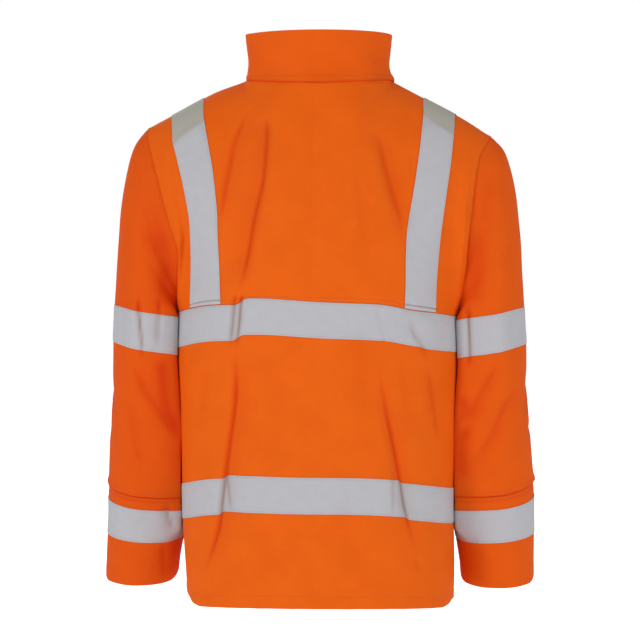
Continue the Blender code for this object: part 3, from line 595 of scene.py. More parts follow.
SLEEVE_RIGHT_CREASES = creases_on(
    View.BACK,
    (((203.5, -312), (203.8, -350), (203.5, -387.1), (201, -402)), 1.6, 3, 4, (0.15, 0.3), 2.4,
     2.2),
    (((219, -175), (215, -235), (213, -290), (209, -330)), 0.4, 10, 12, (0.3, 0.3), 0.5, 16, 0.9),
    (((234, -130), (231, -170), (228, -210)), 0.4, 10, 10, (0.3, 0.3), 0.4, 13, 0.8),
    (((190, -436), (199, -452), (201, -464), (193, -482)), 1.2, 7, 7, (0.3, 0.3), 0.7, 7, 0.8),
    (((201, -476), (200, -520), (200, -575)), 0.6, 8, 12, (0.3, 0.2), 0.5, 13, 0.8),
    (((214, -640), (212, -670), (214, -700)), 0.3, 10, 12, (0.2, 0.1), 0.3, 12, 0.35),
    (((252, -385), (230, -424), (214, -452), (206, -480)), 3.6, 7, 11, (0.3, 0.3), 0.6),
    (((219, -445.9), (207, -480), (197.1, -514.1)), 2.6, 6, 9),
    (((279.7, -420), (256, -462), (236, -510), (210, -556)), 3.8, 7, 13, (0.3, 0.3), 0.5),
    (((223.6, -120.3), (232, -108), (245.3, -99.6)), 1.2, 6, 6),
    (((232, -200), (226, -245), (218, -290)), 1.4, 9, 11),
    (((258, -300), (262, -345), (266, -385)), 1, 9, 12),
) + creases_on(
    View.RIGHT,
    (((18, -405), (-6, -436), (-30, -470)), 3, 12, 8),
    (((36, -450), (14, -486), (-12, -505)), 2.8, 10, 7),
    (((8, -170), (12, -230), (6, -290)), 1.6, 14, 10),
) + creases_on(
    View.FRONT,
    (((-212, -395), (-234, -432), (-260, -450)), 3.2, 8, 11),
    (((-206, -450), (-228, -482), (-262, -496)), 3.2, 8, 12),
    (((-214, -215), (-228, -255), (-234, -300)), 2, 7, 10),
)
COLLAR_CREASES = creases_on(
    View.BACK,
    (((73.4, 19), (89.4, 23.5), (97, 32.8)), 2, 5, 6),
    (((-92.7, 50), (-94.5, 38), (-95.4, 22)), 1.4, 6, 8),
    (((-30, 30), (10, 26), (45, 31)), 0.7, 10, 12),
)


@dataclass
class BodyForm(Form):
    """The body's back or front, from the hem to the neck and shoulders.

    v is the level below the chest, and above it runs on to the neck and shoulder seams. The
    hem's corners reach in and rise by a size for the left and one for the right. The neck's
    edge is drawn out under the collar by a size for the left's middle, its side and the right.
    """

    view: View
    creases: tuple[Crease, ...] = ()
    hem: float = -725.0
    top: float = 17.0
    roundness: float = 2.3
    yoke_lift: float = 0.0
    corner_reach: tuple[float, float] = (92.0, 75.0)
    corner_rise: tuple[float, float] = (26.0, 12.0)
    under_collar: tuple[float, float, float] = (3.6, 1.2, 4.4)
    seam_swell: tuple[float, float] = (0.7, 12.0)
    pucker_swell: tuple[float, float] = (0.35, 7.0)
    free_past_side: float = 26.0
    free_past_top: float = 22.0
    flap_falls_over: float = 82.5
    hem_turns_over: float = 26.0
    dips: Table = Table((-725.0, 6.0), (-640.0, 17.0), (-548.0, 20.0), (-313.0, 17.0))
    back_handles: Table = Table(
        # column, low_out, low_up, top_out, top_up
        (0.0, 8.0, 110.0, 20.0, -50.0),
        (0.417, 10.0, 105.0, 72.0, -26.0),
        (0.727, 7.0, 106.0, 105.0, -10.0),
        (0.91, 25.0, 95.0, 100.0, -4.0),
        (1.0, 90.0, 50.0, 95.0, 0.0),
    )
    front_handles: Table = Table(
        # column, low_out, low_up, top_out, top_up
        (0.0, 0.0, 90.0, 32.0, -70.0),
        (0.417, -2.0, 95.0, 80.0, -40.0),
        (0.727, 0.0, 100.0, 95.0, -22.0),
        (0.91, 20.0, 92.0, 92.0, -8.0),
        (1.0, 90.0, 50.0, 95.0, 0.0),
    )
    lift_by_column: Table = Table((0.0, 1.0), (0.91, 1.0), (0.954, 0.65), (0.991, 0.3), (1.0, 0.0))
    at_chest: tuple[float, ...] = (0.0, 0.826, 0.91, 0.954, 0.991, 1.0)
    at_shoulder: tuple[float, ...] = (0.0, 0.826, 0.89, 0.93, 0.965, 1.0)

    def __post_init__(self) -> None:
        """Measures the chest's half row, so that u runs evenly along it."""
        self.limits = ((-1.0, 1.0), (self.hem, self.top))
        turns = np.linspace(0.0, math.pi / 2, 4001)
        self.columns = np.sin(turns) ** (2.0 / self.roundness)
        row = self.lower(np.full_like(turns, CHEST_Z), self.columns)
        lengths = runs(row[None], 1)[0]
        self.half_girth = float(lengths[-1])
        self.shares = lengths / lengths[-1]
        self.along_top = np.linspace(0.0, 1.0, 801)
        places = np.abs(self.along_top + np.linspace(-0.15, 0.15, 61)[:, None])
        self.soft_top = self.neck_and_shoulder(places).mean(axis=0)

    @property
    def is_front(self) -> bool:
        """Whether this is the front."""
        return self.view is View.FRONT

    def column(self, u: Array) -> Array:
        """The share of the half-width at each u."""
        return np.interp(np.abs(u), self.shares, self.columns)

    def u_of(self, column: Array | float) -> Array:
        """The u of each column on the right, seen from outside."""
        return np.interp(column, self.columns, self.shares)

    def u_at_x(self, x: float, v: Array) -> Array:
        """The u, on the right, of the column that lies this far from the middle."""
        above = np.clip((v - CHEST_Z) / (self.top - CHEST_Z), 0.0, 1.0)
        half_width = BODY_SECTIONS.at(np.minimum(v, CHEST_Z))[..., 0]
        return self.u_of(x / blend(half_width, SHOULDER_POINT[0], above))

    def lower(self, level: Array, column: Array) -> Array:
        """Points of the right half below the chest, with x towards the side."""
        sections = BODY_SECTIONS.at(level)
        half_width = sections[..., 0]
        depth = -sections[..., 2] if self.is_front else sections[..., 1]
        rest = np.clip(1.0 - column**self.roundness, 0.0, None)
        dip = self.dips.at(level)[..., 0]
        drop = dip - 5.5 * (1.0 - column**2) * dip / 20.0 if self.is_front else dip * column**3
        return stack(half_width * column, depth * rest ** (1.0 / self.roundness), level - drop)

    def neck_and_shoulder(self, column: Array) -> Array:
        """Points of the neck edge or, past the neck point, of the shoulder seam."""
        x = SHOULDER_POINT[0] * column
        end = NECK_FRONT if self.is_front else NECK_BACK
        across = np.sqrt(np.clip(1.0 - (x / NECK_POINT[0]) ** 2, 0.0, None))[..., None]
        neck = NECK_POINT + (end - NECK_POINT) * across
        neck[..., 0] = x
        share = ((x - NECK_POINT[0]) / (SHOULDER_POINT[0] - NECK_POINT[0]))[..., None]
        shoulder = NECK_POINT + (SHOULDER_POINT - NECK_POINT) * share
        return np.where((x > NECK_POINT[0])[..., None], shoulder, neck)

    def curve_up(self, column: Array, share: Array) -> Array:
        """Points above the chest, on curves from its row to the neck and shoulder."""
        side = -1.0 if self.is_front else 1.0
        low = self.lower(np.full_like(column, CHEST_Z), column)
        top = self.neck_and_shoulder(np.interp(column, self.at_chest, self.at_shoulder))
        handles = (self.front_handles if self.is_front else self.back_handles).at(column)
        low_out, low_up, top_out, top_up = np.moveaxis(handles, -1, 0)
        third = (top[..., 0] - low[..., 0]) / 3.0
        t = share[..., None]
        at_top = np.interp(column, self.at_chest, self.at_shoulder)
        soft = (np.interp(at_top, self.along_top, self.soft_top[:, axis]) for axis in (1, 2))
        soft = stack(top[..., 0], *soft)
        top = blend(soft, top, smooth((t - 0.86) / 0.14))
        low_handle = low + stack(third, side * low_out, low_up)
        top_handle = top + stack(-third, side * top_out, top_up)
        s = 1.0 - t
        return (
            low * s**3 + low_handle * (3 * s * s * t) + top_handle * (3 * s * t * t) + top * t**3
        )

    def upper(self, column: Array, share: Array, left: Array) -> Array:
        """Points above the chest, drawn to the armhole near the side."""
        points = self.curve_up(column, share)
        pull = (np.clip(column - 0.55, 0.0, None) / 0.45) ** 3
        turn = -math.pi * share if self.is_front else math.pi * share
        away = armhole(turn, left) - self.curve_up(np.ones_like(column), share)
        return points + away * pull[..., None]

    def base(self, u: Array, v: Array) -> Array:
        """The plain form, without creases."""
        column = self.column(u)
        share = np.clip((v - CHEST_Z) / (self.top - CHEST_Z), 0.0, 1.0)
        lower = self.lower(np.minimum(v, CHEST_Z), column)
        left = (u > 0.0) == self.is_front
        points = np.where((v > CHEST_Z)[..., None], self.upper(column, share, left), lower)
        points[..., 0] *= np.where(u < 0.0, -1.0, 1.0) * (1.0 if self.is_front else -1.0)
        reach, height = (np.where(left, *pair) for pair in (self.corner_reach, self.corner_rise))
        beside = np.clip(1.0 - (1.0 - np.abs(u)) * self.half_girth / reach, 0.0, 1.0)
        points[..., 2] += height * smooth(beside) * smooth(1.0 - (v - self.hem) / 50.0)
        seam = HALF_GAP * smooth((np.abs(u) - 0.985) / 0.015) * (v < CHEST_Z + 1.0)
        points[..., 1] += -seam if self.is_front else seam
        return points

    def loose(self, u: Array, v: Array) -> Array:
        """How free the cloth is to crease: little at the side seams and top."""
        side = smooth((1.0 - np.abs(u)) * self.half_girth / self.free_past_side)
        return side * blend(0.25, 1.0, smooth((self.top - v) / self.free_past_top))

    def settle(self, u: Array, v: Array, points: Array, normals: Array) -> Array:
        """The dips of the seams, the hem's turned edge and the yoke's free hem."""
        side = (1.0 - np.abs(u)) * self.half_girth
        pucker = 1.0 + 0.35 * np.sin(v / 3.1) + 0.25 * np.sin(v / 1.9 + 1.0)
        out = puff(side, *self.seam_swell) + puff(side, *self.pucker_swell) * (pucker - 1.0)
        column = self.column(u)
        past_neck = smooth((column - 0.40) / 0.04)
        out += puff(self.top - v, *self.seam_swell) * past_neck
        by_collar = (1.0 - past_neck) * (smooth((column - 0.02) / 0.05) if self.is_front else 1.0)
        left_middle, left_side, right = self.under_collar
        on_left = blend(left_middle, left_side, smooth((column - 0.28) / 0.12))
        by_collar *= np.where((u > 0.0) == self.is_front, on_left, right)
        out += smooth(1.0 - (self.top - v) / 10.0) * by_collar
        if self.yoke_lift:
            above = v - CHEST_Z
            share = self.lift_by_column.at(column)[..., 0]
            out += self.yoke_lift * share * smooth(1.0 - above / self.flap_falls_over)
            out -= 0.35 * bell(above - YOKE_SEWN, 1.3)
        else:
            above = v - self.hem
            ripple = 0.35 * np.sin(u * 41.0 + 0.7) + 0.3 * np.sin(u * 67.0 + 2.0)
            out += (0.5 + ripple) * smooth(1.0 - above / self.hem_turns_over)
            out -= 0.45 * bell(above - HEM_SEWN, 1.5)
        return out

    def rows(self, low: float, high: float, step: float) -> Array:
        """Levels from low to high, at most a step apart."""
        return spread(low, high, (high - low) / step)


@dataclass
class SleeveForm(Form):
    """A sleeve and its cuff. v counts the rings from the cuff's hem up to the armhole.

    u runs once round, rightwards seen from outside, from the seam beneath the arm. The rings'
    back corners are pressed towards the body, and past its side by the overlap at most, which
    has a size for the right and one for the left.
    """

    left: bool
    creases: tuple[Crease, ...] = ()
    swell: float = 0.7
    rings: tuple[tuple[float, ...], ...] = (
        # outer_x, outer_z, clear, inner_z, middle_y, half_depth, pitch
        (301.0, -700.0, 10.0, -700.0, -51.0, 50.0, 11.0),
        (301.0, -672.0, 7.0, -674.0, -46.0, 50.5, 11.0),
        (301.5, -641.0, 3.2, -646.0, -40.0, 51.5, 11.5),
        (301.0, -616.0, 2.6, -624.0, -35.0, 53.0, 12.0),
        (300.5, -591.0, 2.5, -602.0, -30.0, 54.0, 12.0),
        (300.0, -577.0, 2.3, -588.0, -27.0, 54.5, 12.0),
        (298.5, -548.0, 2.2, -559.0, -21.0, 56.0, 12.0),
        (296.0, -514.0, 1.3, -524.0, -14.0, 58.0, 11.0),
        (293.5, -480.0, 1.1, -490.0, -8.0, 60.0, 9.0),
        (291.0, -446.0, 1.1, -460.0, -3.0, 62.0, 6.0),
        (289.5, -409.0, 1.4, -430.0, -1.0, 64.0, 4.0),
        (289.0, -368.0, 3.1, -391.0, 0.0, 66.0, 2.0),
        (287.5, -343.0, 3.1, -366.0, 0.0, 67.0, 1.0),
        (286.5, -318.0, 3.1, -341.0, 0.0, 68.0, 0.0),
        (285.0, -288.0, 3.1, -339.0, 0.0, 69.0, 0.0),
        (283.0, -249.0, 3.1, -337.5, 0.0, 70.0, 0.0),
        (280.0, -205.0, 3.1, -336.0, -1.0, 71.0, 0.0),
        (275.5, -165.0, 3.1, -334.4, -2.0, 71.0, 0.0),
        (268.0, -128.0, 3.1, -332.8, -2.0, 71.0, 0.0),
        (258.0, -98.0, 2.8, -331.3, -2.0, 70.0, 0.0),
    )
    tucked: bool = False
    cuff_tape: tuple[float, float] = (2.0, 4.0)
    cuff_seam: float = 5.2
    arm_tape: tuple[float, float] = (11.0, 13.0)
    armhole_ring: float = 20.0
    body_roundness: float = 2.3
    girth: float = 420.0
    corner: float = 12.0
    pressed: float = 26.0
    overlap: tuple[float, float] = (6.0, 7.0)
    seam_swell: tuple[float, float] = (0.8, 14.0)
    pucker_swell: tuple[float, float] = (0.5, 8.0)

    steps = (0.004, 0.03)
    on_sleeve = True

    def __post_init__(self) -> None:
        """Works out where each ring's inner point lies, and the lengths up the sleeve."""
        self.limits = ((-0.5, 1.5), (0.0, self.armhole_ring))
        self.sizes = np.array(self.rings)
        inner_z = self.sizes[:, 3]
        self.inner_x = BODY_SECTIONS.at(inner_z)[:, 0] + self.sizes[:, 2]
        self.levels = np.linspace(0.0, self.armhole_ring, 401)
        sides = self.base(*np.meshgrid(np.array((0.25, 0.5, 0.75)), self.levels))
        self.lengths = runs(sides, 0).mean(axis=1)

    def ring_point(self, ring: Array, turn: Array) -> Array:
        """Points of whole rings, at turns from the inner point past the back."""
        last = len(self.rings) - 1
        row = np.clip(ring, 0, last)
        outer_x, outer_z, _, inner_z, middle_y, half_depth, pitch = self.sizes[row].T
        shape = turn.shape
        outer_x, outer_z, inner_z, middle_y, half_depth, pitch = (
            part.T.reshape(shape)
            for part in (outer_x, outer_z, inner_z, middle_y, half_depth, pitch)
        )
        inner_x = self.inner_x[row]
        y = half_depth * np.sin(turn)
        x = blend((outer_x + inner_x) / 2, inner_x, np.cos(turn))
        degrees = np.degrees(turn)
        corner = self.corner * window(degrees, 8.0, 20.0, 92.0, 52.0)
        degrees = np.minimum(degrees, 360.0 - degrees)
        z = blend((outer_z + inner_z) / 2, inner_z, np.cos(turn))
        end = np.clip((np.abs(np.cos(turn)) - 0.84) / 0.16, 0.0, 1.0)
        z = z + 7.5 * (1.0 - np.sqrt(1.0 - end**2)) * (ring == 0)
        side, behind, ahead = np.moveaxis(BODY_SECTIONS.at(z), -1, 0)
        share = np.abs(middle_y + y) / np.where(middle_y + y > 0.0, behind, ahead)
        share = np.clip(1.0 - share**self.body_roundness, 0.0, None)
        room = x - side * share ** (1.0 / self.body_roundness) - self.sizes[row, 2]
        room = np.minimum(room, x - side + self.overlap[self.left])
        pressed = self.pressed * window(degrees, 0.0, 30.0, 104.0, 48.0)
        pressed = np.minimum(pressed, np.clip(room, 0.0, None)) * smooth((ring - 1.5) / 1.5)
        x = x - blend(pressed, corner, smooth((ring - 13.0) / 4.0))
        points = stack(x, middle_y + y, z - y * np.tan(np.radians(pitch)))
        wrapped = np.where(turn > math.pi, turn - math.tau, turn)
        at_armhole = armhole(wrapped, np.full(shape, self.left))
        return np.where((ring > last)[..., None], at_armhole, points)

    def base(self, u: Array, v: Array) -> Array:
        """The plain form, on even curves through the rings."""
        turn = np.mod(-u if self.left else u, 1.0) * math.tau
        last = len(self.rings)
        low = np.clip(np.floor(v).astype(int), 0, last - 1)
        t = (v - low)[..., None]
        near = [self.ring_point(np.clip(low + k, 0, last), turn) for k in (-1, 0, 1, 2)]
        first, middle, later = (b - a for a, b in zip(near, near[1:]))
        first = np.where((low == 0)[..., None], middle, first)
        later = np.where((low == last - 1)[..., None], middle, later)

        def slope(a: Array, b: Array) -> Array:
            """A slope between two rises that doesn't pass either."""
            same = a * b > 0.0
            return np.where(same, 2.0 * a * b / np.where(same, a + b, 1.0), 0.0)

        points = curved(near[1], near[2], slope(first, middle), slope(middle, later), t)
        if not self.left:
            points[..., 0] *= -1.0
        return points

    def up(self, v: Array) -> Array:
        """How far up the sleeve each v lies."""
        return np.interp(v, self.levels, self.lengths)

    def v_at(self, ring: float, further: Array | float) -> Array:
        """The v that lies this much further up the sleeve than a ring."""
        return np.interp(self.up(ring) + further, self.lengths, self.levels)

    def loose(self, u: Array, v: Array) -> Array:
        """How free the cloth is to crease: little at the armhole and the cuff's hem."""
        to_armhole = smooth((self.lengths[-1] - self.up(v)) / 24.0)
        return to_armhole * blend(0.5, 1.0, smooth(self.up(v) / 30.0))

    def settle(self, u: Array, v: Array, points: Array, normals: Array) -> Array:
        """The dips of the seams, the lapped cuff seam and the cuff's hem."""
        at_armhole = self.base(u, np.full_like(v, self.armhole_ring))
        away = np.linalg.norm(points - at_armhole, axis=-1)
        pucker = 1.0 + 0.35 * np.sin(u * 88.0) + 0.25 * np.sin(u * 151.0 + 1.0)
        out = puff(away, *self.seam_swell) + puff(away, *self.pucker_swell) * (pucker - 1.0)
        beneath = np.minimum(np.abs(u), np.abs(1.0 - u)) * self.girth
        out -= 0.8 * bell(beneath, 3.0)
        from_seam = self.up(v) - self.up(self.cuff_seam)
        ripple = 1.0 + 0.4 * np.sin(u * 53.0 + 0.5) + 0.35 * np.sin(u * 91.0)
        lap = (0.5 + 1.1 * ripple) * bell(np.maximum(from_seam, 0.0), 9.0)
        lap *= smooth((0.6 - np.cos(math.tau * u)) / 0.5)
        under = -1.3 * smooth((from_seam + 3.0) / 5.0)
        out += under if self.tucked else np.where(from_seam >= 0.0, lap, 0.0)
        out -= 0.8 * bell(from_seam + CUFF_SEAM_SEWN, 1.8)
        from_hem = self.up(v)
        out += (0.5 + 0.3 * np.sin(u * 46.0)) * smooth(1.0 - from_hem / 26.0)
        out -= 0.45 * bell(from_hem - CUFF_HEM_SEWN, 1.5)
        return out

    def painted_shade(self, u: Array, v: Array) -> Array:
        """How much painted shade each place gets: in the creases, and as a painted shadow below the
        cuff's seam.
        """
        from_seam = self.up(v) - self.up(self.cuff_seam)
        # A painted shadow just below the lap of the cuff's seam, and a fainter one in the groove of
        # its stitch row.
        seam = bell(from_seam + 1.0, 1.5) + 0.5 * bell(from_seam + CUFF_SEAM_SEWN, 1.3)
        return super().painted_shade(u, v) + 0.8 * seam

    def rows(self, low: float, high: float, step: float) -> Array:
        """Values of v from low to high, at even lengths at most a step apart."""
        start, end = self.up(low), self.up(high)
        return np.interp(spread(start, end, (end - start) / step), self.lengths, self.levels)


@dataclass
class CollarForm(Form):
    """The stand collar, from the wearer's left front edge round the back to the right.

    v is the share of the collar's height, and u is the share of the way round to the front.
    """

    creases: tuple[Crease, ...] = COLLAR_CREASES
    flares: Table = Table(
        # share_of_height, flare
        (0.0, 4.8), (0.07, 4.4), (0.17, 0.8), (0.38, -1.2), (0.7, 0.8), (1.0, 2.6),
    )
    back_top: float = 61.0
    front_top: float = 36.0
    half_turn: float = math.pi - math.asin(FRONT_EDGE_X / NECK_POINT[0])
    swell: float = 0.35

    steps = (0.004, 0.008)
    limits = ((-1.02, 1.02), (0.0, 1.0))

    def base(self, u: Array, v: Array) -> Array:
        """The plain form, without creases."""
        turn = u * self.half_turn
        forwards = np.cos(turn) < 0.0
        to_middle = np.abs(np.cos(turn))
        reach = np.where(forwards, NECK_POINT[1] - NECK_FRONT[1], NECK_BACK[1] - NECK_POINT[1])
        x = -NECK_POINT[0] * np.sin(turn)
        y = reach * np.cos(turn)
        neck_z = NECK_POINT[2] + (np.where(forwards, NECK_FRONT[2], NECK_BACK[2])
                                  - NECK_POINT[2]) * to_middle
        out = unit(stack(x / NECK_POINT[0] ** 2, y / reach**2, 0.0))
        low = neck_z - blend(0.3, 3.5, to_middle**3)
        dip = np.where(forwards, smooth(to_middle), 0.0) * (self.back_top - self.front_top)
        flare = self.flares.at(v)[..., 0]
        points = stack(x, NECK_POINT[1] + y, blend(low, self.back_top - dip, v))
        return points + out * flare[..., None]

    def loose(self, u: Array, v: Array) -> Array:
        """How free the cloth is to crease: little at its base."""
        return blend(0.2, 1.0, smooth(v / 0.25))

    def settle(self, u: Array, v: Array, points: Array, normals: Array) -> Array:
        """The ripple of the collar's base, which stands out less at the wearer's left."""
        ripple = 0.4 * np.sin(u * 27.0 + 0.3) + 0.35 * np.sin(u * 49.0 + 2.0)
        beside = bell(u + 0.52, 0.2)
        return (ripple - 3.5 * beside) * bell(v, 0.14)

    def painted_shade(self, u: Array, v: Array) -> Array:
        """How much painted shade each place gets: in the creases, and as a painted shadow along the
        collar's base.
        """
        # A painted shadow line along the collar's base.
        return super().painted_shade(u, v) + 0.9 * bell(v, 0.03)


# --- Finishes ------------------------------------------------------------------


class Bench:
    """Adds a material's nodes and joins them."""

    def __init__(self, name: str) -> None:
        """Starts a material with its shader."""
        self.material = bpy.data.materials.new(name)
        self.material.use_nodes = True
        self.tree = self.material.node_tree
        self.shader = self.tree.nodes["Principled BSDF"]

    def add(self, kind: str, sockets: dict[str | int, object] | None = None,
            **settings: object) -> bpy.types.Node:
        """Adds a node.

        Args:
            kind: the node's type, without its prefix.
            sockets: values or outputs for its inputs, by name or number.
            settings: its own settings.

        Returns:
            The node.
        """
        node = self.tree.nodes.new("ShaderNode" + kind)
        for name, value in settings.items():
            setattr(node, name, value)
        for name, value in (sockets or {}).items():
            self.give(node, name, value)
        return node

    def give(self, node: bpy.types.Node, name: str | int, value: object) -> None:
        """Sets a node's input, or joins an output to it."""
        if isinstance(value, Socket):
            self.tree.links.new(value, node.inputs[name])
        else:
            node.inputs[name].default_value = value

    def along_cut(self) -> Socket:
        """Places along the cloth as cut, in metres."""
        return self.add("UVMap", uv_map="cut").outputs[0]

    def in_space(self) -> Socket:
        """Places on the object, in metres."""
        return self.add("TexCoord").outputs["Object"]

    def noise(self, where: Socket, scale: float, detail: float = 2.0) -> Socket:
        """Soft random patches at a scale, in patches a metre."""
        node = self.add("TexNoise", {"Vector": where, "Scale": scale, "Detail": detail})
        return node.outputs["Fac"]

    def sum_of(self, *parts: tuple[Socket, float]) -> Socket:
        """The sum of several outputs, each with a weight."""
        total = None
        for output, weight in parts:
            node = self.add("Math", {0: output, 1: weight}, operation="MULTIPLY_ADD")
            self.give(node, 2, total if total is not None else 0.0)
            total = node.outputs[0]
        return total

    def between(self, share: Socket, low: tuple[float, ...], high: tuple[float, ...],
                start: float = 0.35, end: float = 0.65) -> Socket:
        """A colour between two, as a share goes from start to end."""
        ramp = self.add("ValToRGB", {"Fac": share})
        for stop, place, colour in zip(ramp.color_ramp.elements, (start, end), (low, high)):
            stop.position = place
            stop.color = (*colour, 1.0)
        return ramp.outputs["Color"]

    def with_painted_shade(self, plain: Socket, colour: tuple[float, ...],
                   most: float) -> Socket:
        """A colour that turns to a painted shade colour in the creases, by this much where the
        shade is deepest.
        """
        deep = self.add("Attribute", attribute_name="painted_shade").outputs["Fac"]
        share = self.add("Math", {0: deep, 1: most}, operation="MULTIPLY").outputs[0]
        node = self.add("Mix", {0: share, 6: plain, 7: (*colour, 1.0)}, data_type="RGBA")
        return node.outputs[2]

    def range_of(self, share: Socket, low: float, high: float) -> Socket:
        """A number between low and high, as a share goes from 0.3 to 0.7."""
        node = self.add("MapRange", {"Value": share, 1: 0.3, 2: 0.7, 3: low, 4: high})
        return node.outputs[0]

    def relief(self, height: Socket, distance: float, strength: float = 1.0) -> None:
        """Gives the shader fine relief of this height in metres."""
        bump = self.add("Bump", {"Height": height, "Distance": distance, "Strength": strength})
        self.give(self.shader, "Normal", bump.outputs["Normal"])

    def finish(self, **sockets: object) -> Material:
        """Sets the shader's inputs, by name with underscores for spaces."""
        for name, value in sockets.items():
            self.give(self.shader, name.replace("_", " "), value)
        return self.material


@dataclass(frozen=True)
class CoatedCloth:
    """Orange cloth with a soft, matt waterproof coat: fine grain, faint rub marks, and painted
    shade in its creases.
    """

    name: str = "orange_coated_cloth"
    deep: tuple[float, float, float] = (0.80, 0.117, 0.004)
    bright: tuple[float, float, float] = (0.84, 0.126, 0.005)
    # Painted crease shade: the darker, redder colour mixed in where the creases are deep.
    creases_and_painted_shade: tuple[float, float, float] = (0.67, 0.048, 0.002)
    roughness: float = 0.66

    def make(self) -> Material:
        """The material."""
        bench = Bench(self.name)
        cut = bench.along_cut()
        patches = bench.noise(cut, 22.0, 4.0)
        grain = bench.noise(cut, 1500.0, 1.0)
        pebble = bench.add("TexVoronoi", {"Vector": cut, "Scale": 900.0}).outputs["Distance"]
        crinkle = bench.noise(cut, 85.0, 3.0)
        height = bench.sum_of((pebble, 0.16), (grain, 0.1), (crinkle, 0.9))
        bench.relief(height, 0.0007, 0.55)
        plain = bench.between(patches, self.deep, self.bright)
        return bench.finish(
            Base_Color=bench.with_painted_shade(plain, self.creases_and_painted_shade, 0.8),
            Roughness=bench.range_of(patches, self.roughness - 0.05, self.roughness + 0.05),
            Specular_IOR_Level=0.08,
        )


@dataclass(frozen=True)
class KnittedBacking:
    """The knitted inner side that the coat is laid on."""

    name: str = "orange_knitted_backing"
    dark: tuple[float, float, float] = (0.36, 0.045, 0.006)
    light: tuple[float, float, float] = (0.72, 0.13, 0.025)
    loops_a_metre: float = 1100.0

    def make(self) -> Material:
        """The material."""
        bench = Bench(self.name)
        cut = bench.along_cut()
        loops = bench.add(
            "TexWave", {"Vector": cut, "Scale": self.loops_a_metre / 20.0 * 3.14, "Distortion": 1.5,
                        "Detail Scale": 3.0}, wave_type="BANDS", bands_direction="X",
        ).outputs["Fac"]
        rows = bench.add(
            "TexWave", {"Vector": cut, "Scale": self.loops_a_metre / 20.0 * 3.14},
            wave_type="BANDS", bands_direction="Y",
        ).outputs["Fac"]
        knit = bench.sum_of((loops, 0.5), (rows, 0.5))
        bench.relief(knit, 0.0003, 0.6)
        return bench.finish(
            Base_Color=bench.between(knit, self.dark, self.light, 0.1, 0.7),
            Roughness=0.85, Sheen_Weight=0.3,
        )


@dataclass(frozen=True)
class ReflectiveTape:
    """Silver-grey tape faced with tiny glass beads, with painted shade in its creases and on its
    upward-facing part over the shoulders.
    """

    name: str = "reflective_tape"
    dark: tuple[float, float, float] = (0.475, 0.47, 0.50)
    light: tuple[float, float, float] = (0.505, 0.50, 0.53)
    # Painted shade: the first colour is mixed into the tape's creases, the second over the
    # shoulders, where the tape faces up.
    creases_and_painted_shade: tuple[float, float, float] = (0.33, 0.225, 0.18)
    shoulder_shade: tuple[float, float, float] = (0.44, 0.42, 0.37)

    def make(self) -> Material:
        """The material."""
        bench = Bench(self.name)
        cut = bench.along_cut()
        beads = bench.add("TexVoronoi", {"Vector": cut, "Scale": 2600.0}).outputs["Distance"]
        rubbed = bench.noise(cut, 60.0, 5.0)
        cloudy = bench.noise(cut, 260.0, 2.0)
        height = bench.sum_of((beads, 0.12), (cloudy, 0.3), (rubbed, 0.6))
        bench.relief(height, 0.0004, 0.5)
        upright = bench.between(bench.sum_of((rubbed, 0.6), (cloudy, 0.4)), self.dark, self.light)
        # Painted shade: above a sloping line over the shoulders the tape turns olive grey, for the
        # dimmer light on its upward-facing part.
        x, _, z = bench.add("SeparateXYZ", {0: bench.in_space()}).outputs
        aside = bench.add("Math", {0: x}, operation="ABSOLUTE").outputs[0]
        over = bench.sum_of((z, 1.0), (aside, 0.73), (x, 0.0094))
        over = bench.add("MapRange", {"Value": over, 1: 0.049, 2: 0.0545}).outputs[0]
        shade_tone = bench.add("Mix", {0: over, 6: upright, 7: (*self.shoulder_shade, 1.0)}, data_type="RGBA")
        return bench.finish(
            Base_Color=bench.with_painted_shade(shade_tone.outputs[2], self.creases_and_painted_shade, 0.85),
            Roughness=bench.range_of(cloudy, 0.60, 0.72), Specular_IOR_Level=0.2,
        )


@dataclass(frozen=True)
class WovenTape:
    """The zip's woven side tapes, with their ribs running along."""

    name: str = "zip_side_tape"
    dark: tuple[float, float, float] = (0.42, 0.048, 0.005)
    light: tuple[float, float, float] = (0.68, 0.10, 0.012)

    def make(self) -> Material:
        """The material."""
        bench = Bench(self.name)
        cut = bench.along_cut()
        ribs = bench.add("TexWave", {"Vector": cut, "Scale": 160.0, "Distortion": 0.6},
                         wave_type="BANDS", bands_direction="X").outputs["Fac"]
        picks = bench.add("TexWave", {"Vector": cut, "Scale": 240.0},
                          wave_type="BANDS", bands_direction="DIAGONAL").outputs["Fac"]
        weave = bench.sum_of((ribs, 0.6), (picks, 0.4))
        bench.relief(weave, 0.0002, 0.7)
        return bench.finish(Base_Color=bench.between(weave, self.dark, self.light, 0.2, 0.8),
                            Roughness=0.75, Sheen_Weight=0.25)


@dataclass(frozen=True)
class MouldedTeeth:
    """Moulded plastic teeth, a little glossier where they are rubbed."""

    name: str = "zip_teeth"
    dark: tuple[float, float, float] = (0.46, 0.055, 0.006)
    light: tuple[float, float, float] = (0.62, 0.085, 0.01)

    def make(self) -> Material:
        """The material."""
        bench = Bench(self.name)
        grain = bench.noise(bench.in_space(), 900.0, 3.0)
        bench.relief(grain, 0.00008, 0.5)
        return bench.finish(Base_Color=bench.between(grain, self.dark, self.light),
                            Roughness=bench.range_of(grain, 0.3, 0.45))


@dataclass(frozen=True)
class BrushedMetal:
    """Nickel-plated metal, brushed along its length."""

    name: str = "zip_metal"
    dark: tuple[float, float, float] = (0.42, 0.42, 0.43)
    light: tuple[float, float, float] = (0.66, 0.66, 0.68)

    def make(self) -> Material:
        """The material."""
        bench = Bench(self.name)
        place = bench.add("Mapping", {"Vector": bench.in_space(), "Scale": (9.0, 9.0, 0.35)})
        strokes = bench.noise(place.outputs[0], 320.0, 4.0)
        bench.relief(strokes, 0.00006, 0.5)
        return bench.finish(Base_Color=bench.between(strokes, self.dark, self.light),
                            Roughness=bench.range_of(strokes, 0.24, 0.4), Metallic=1.0)


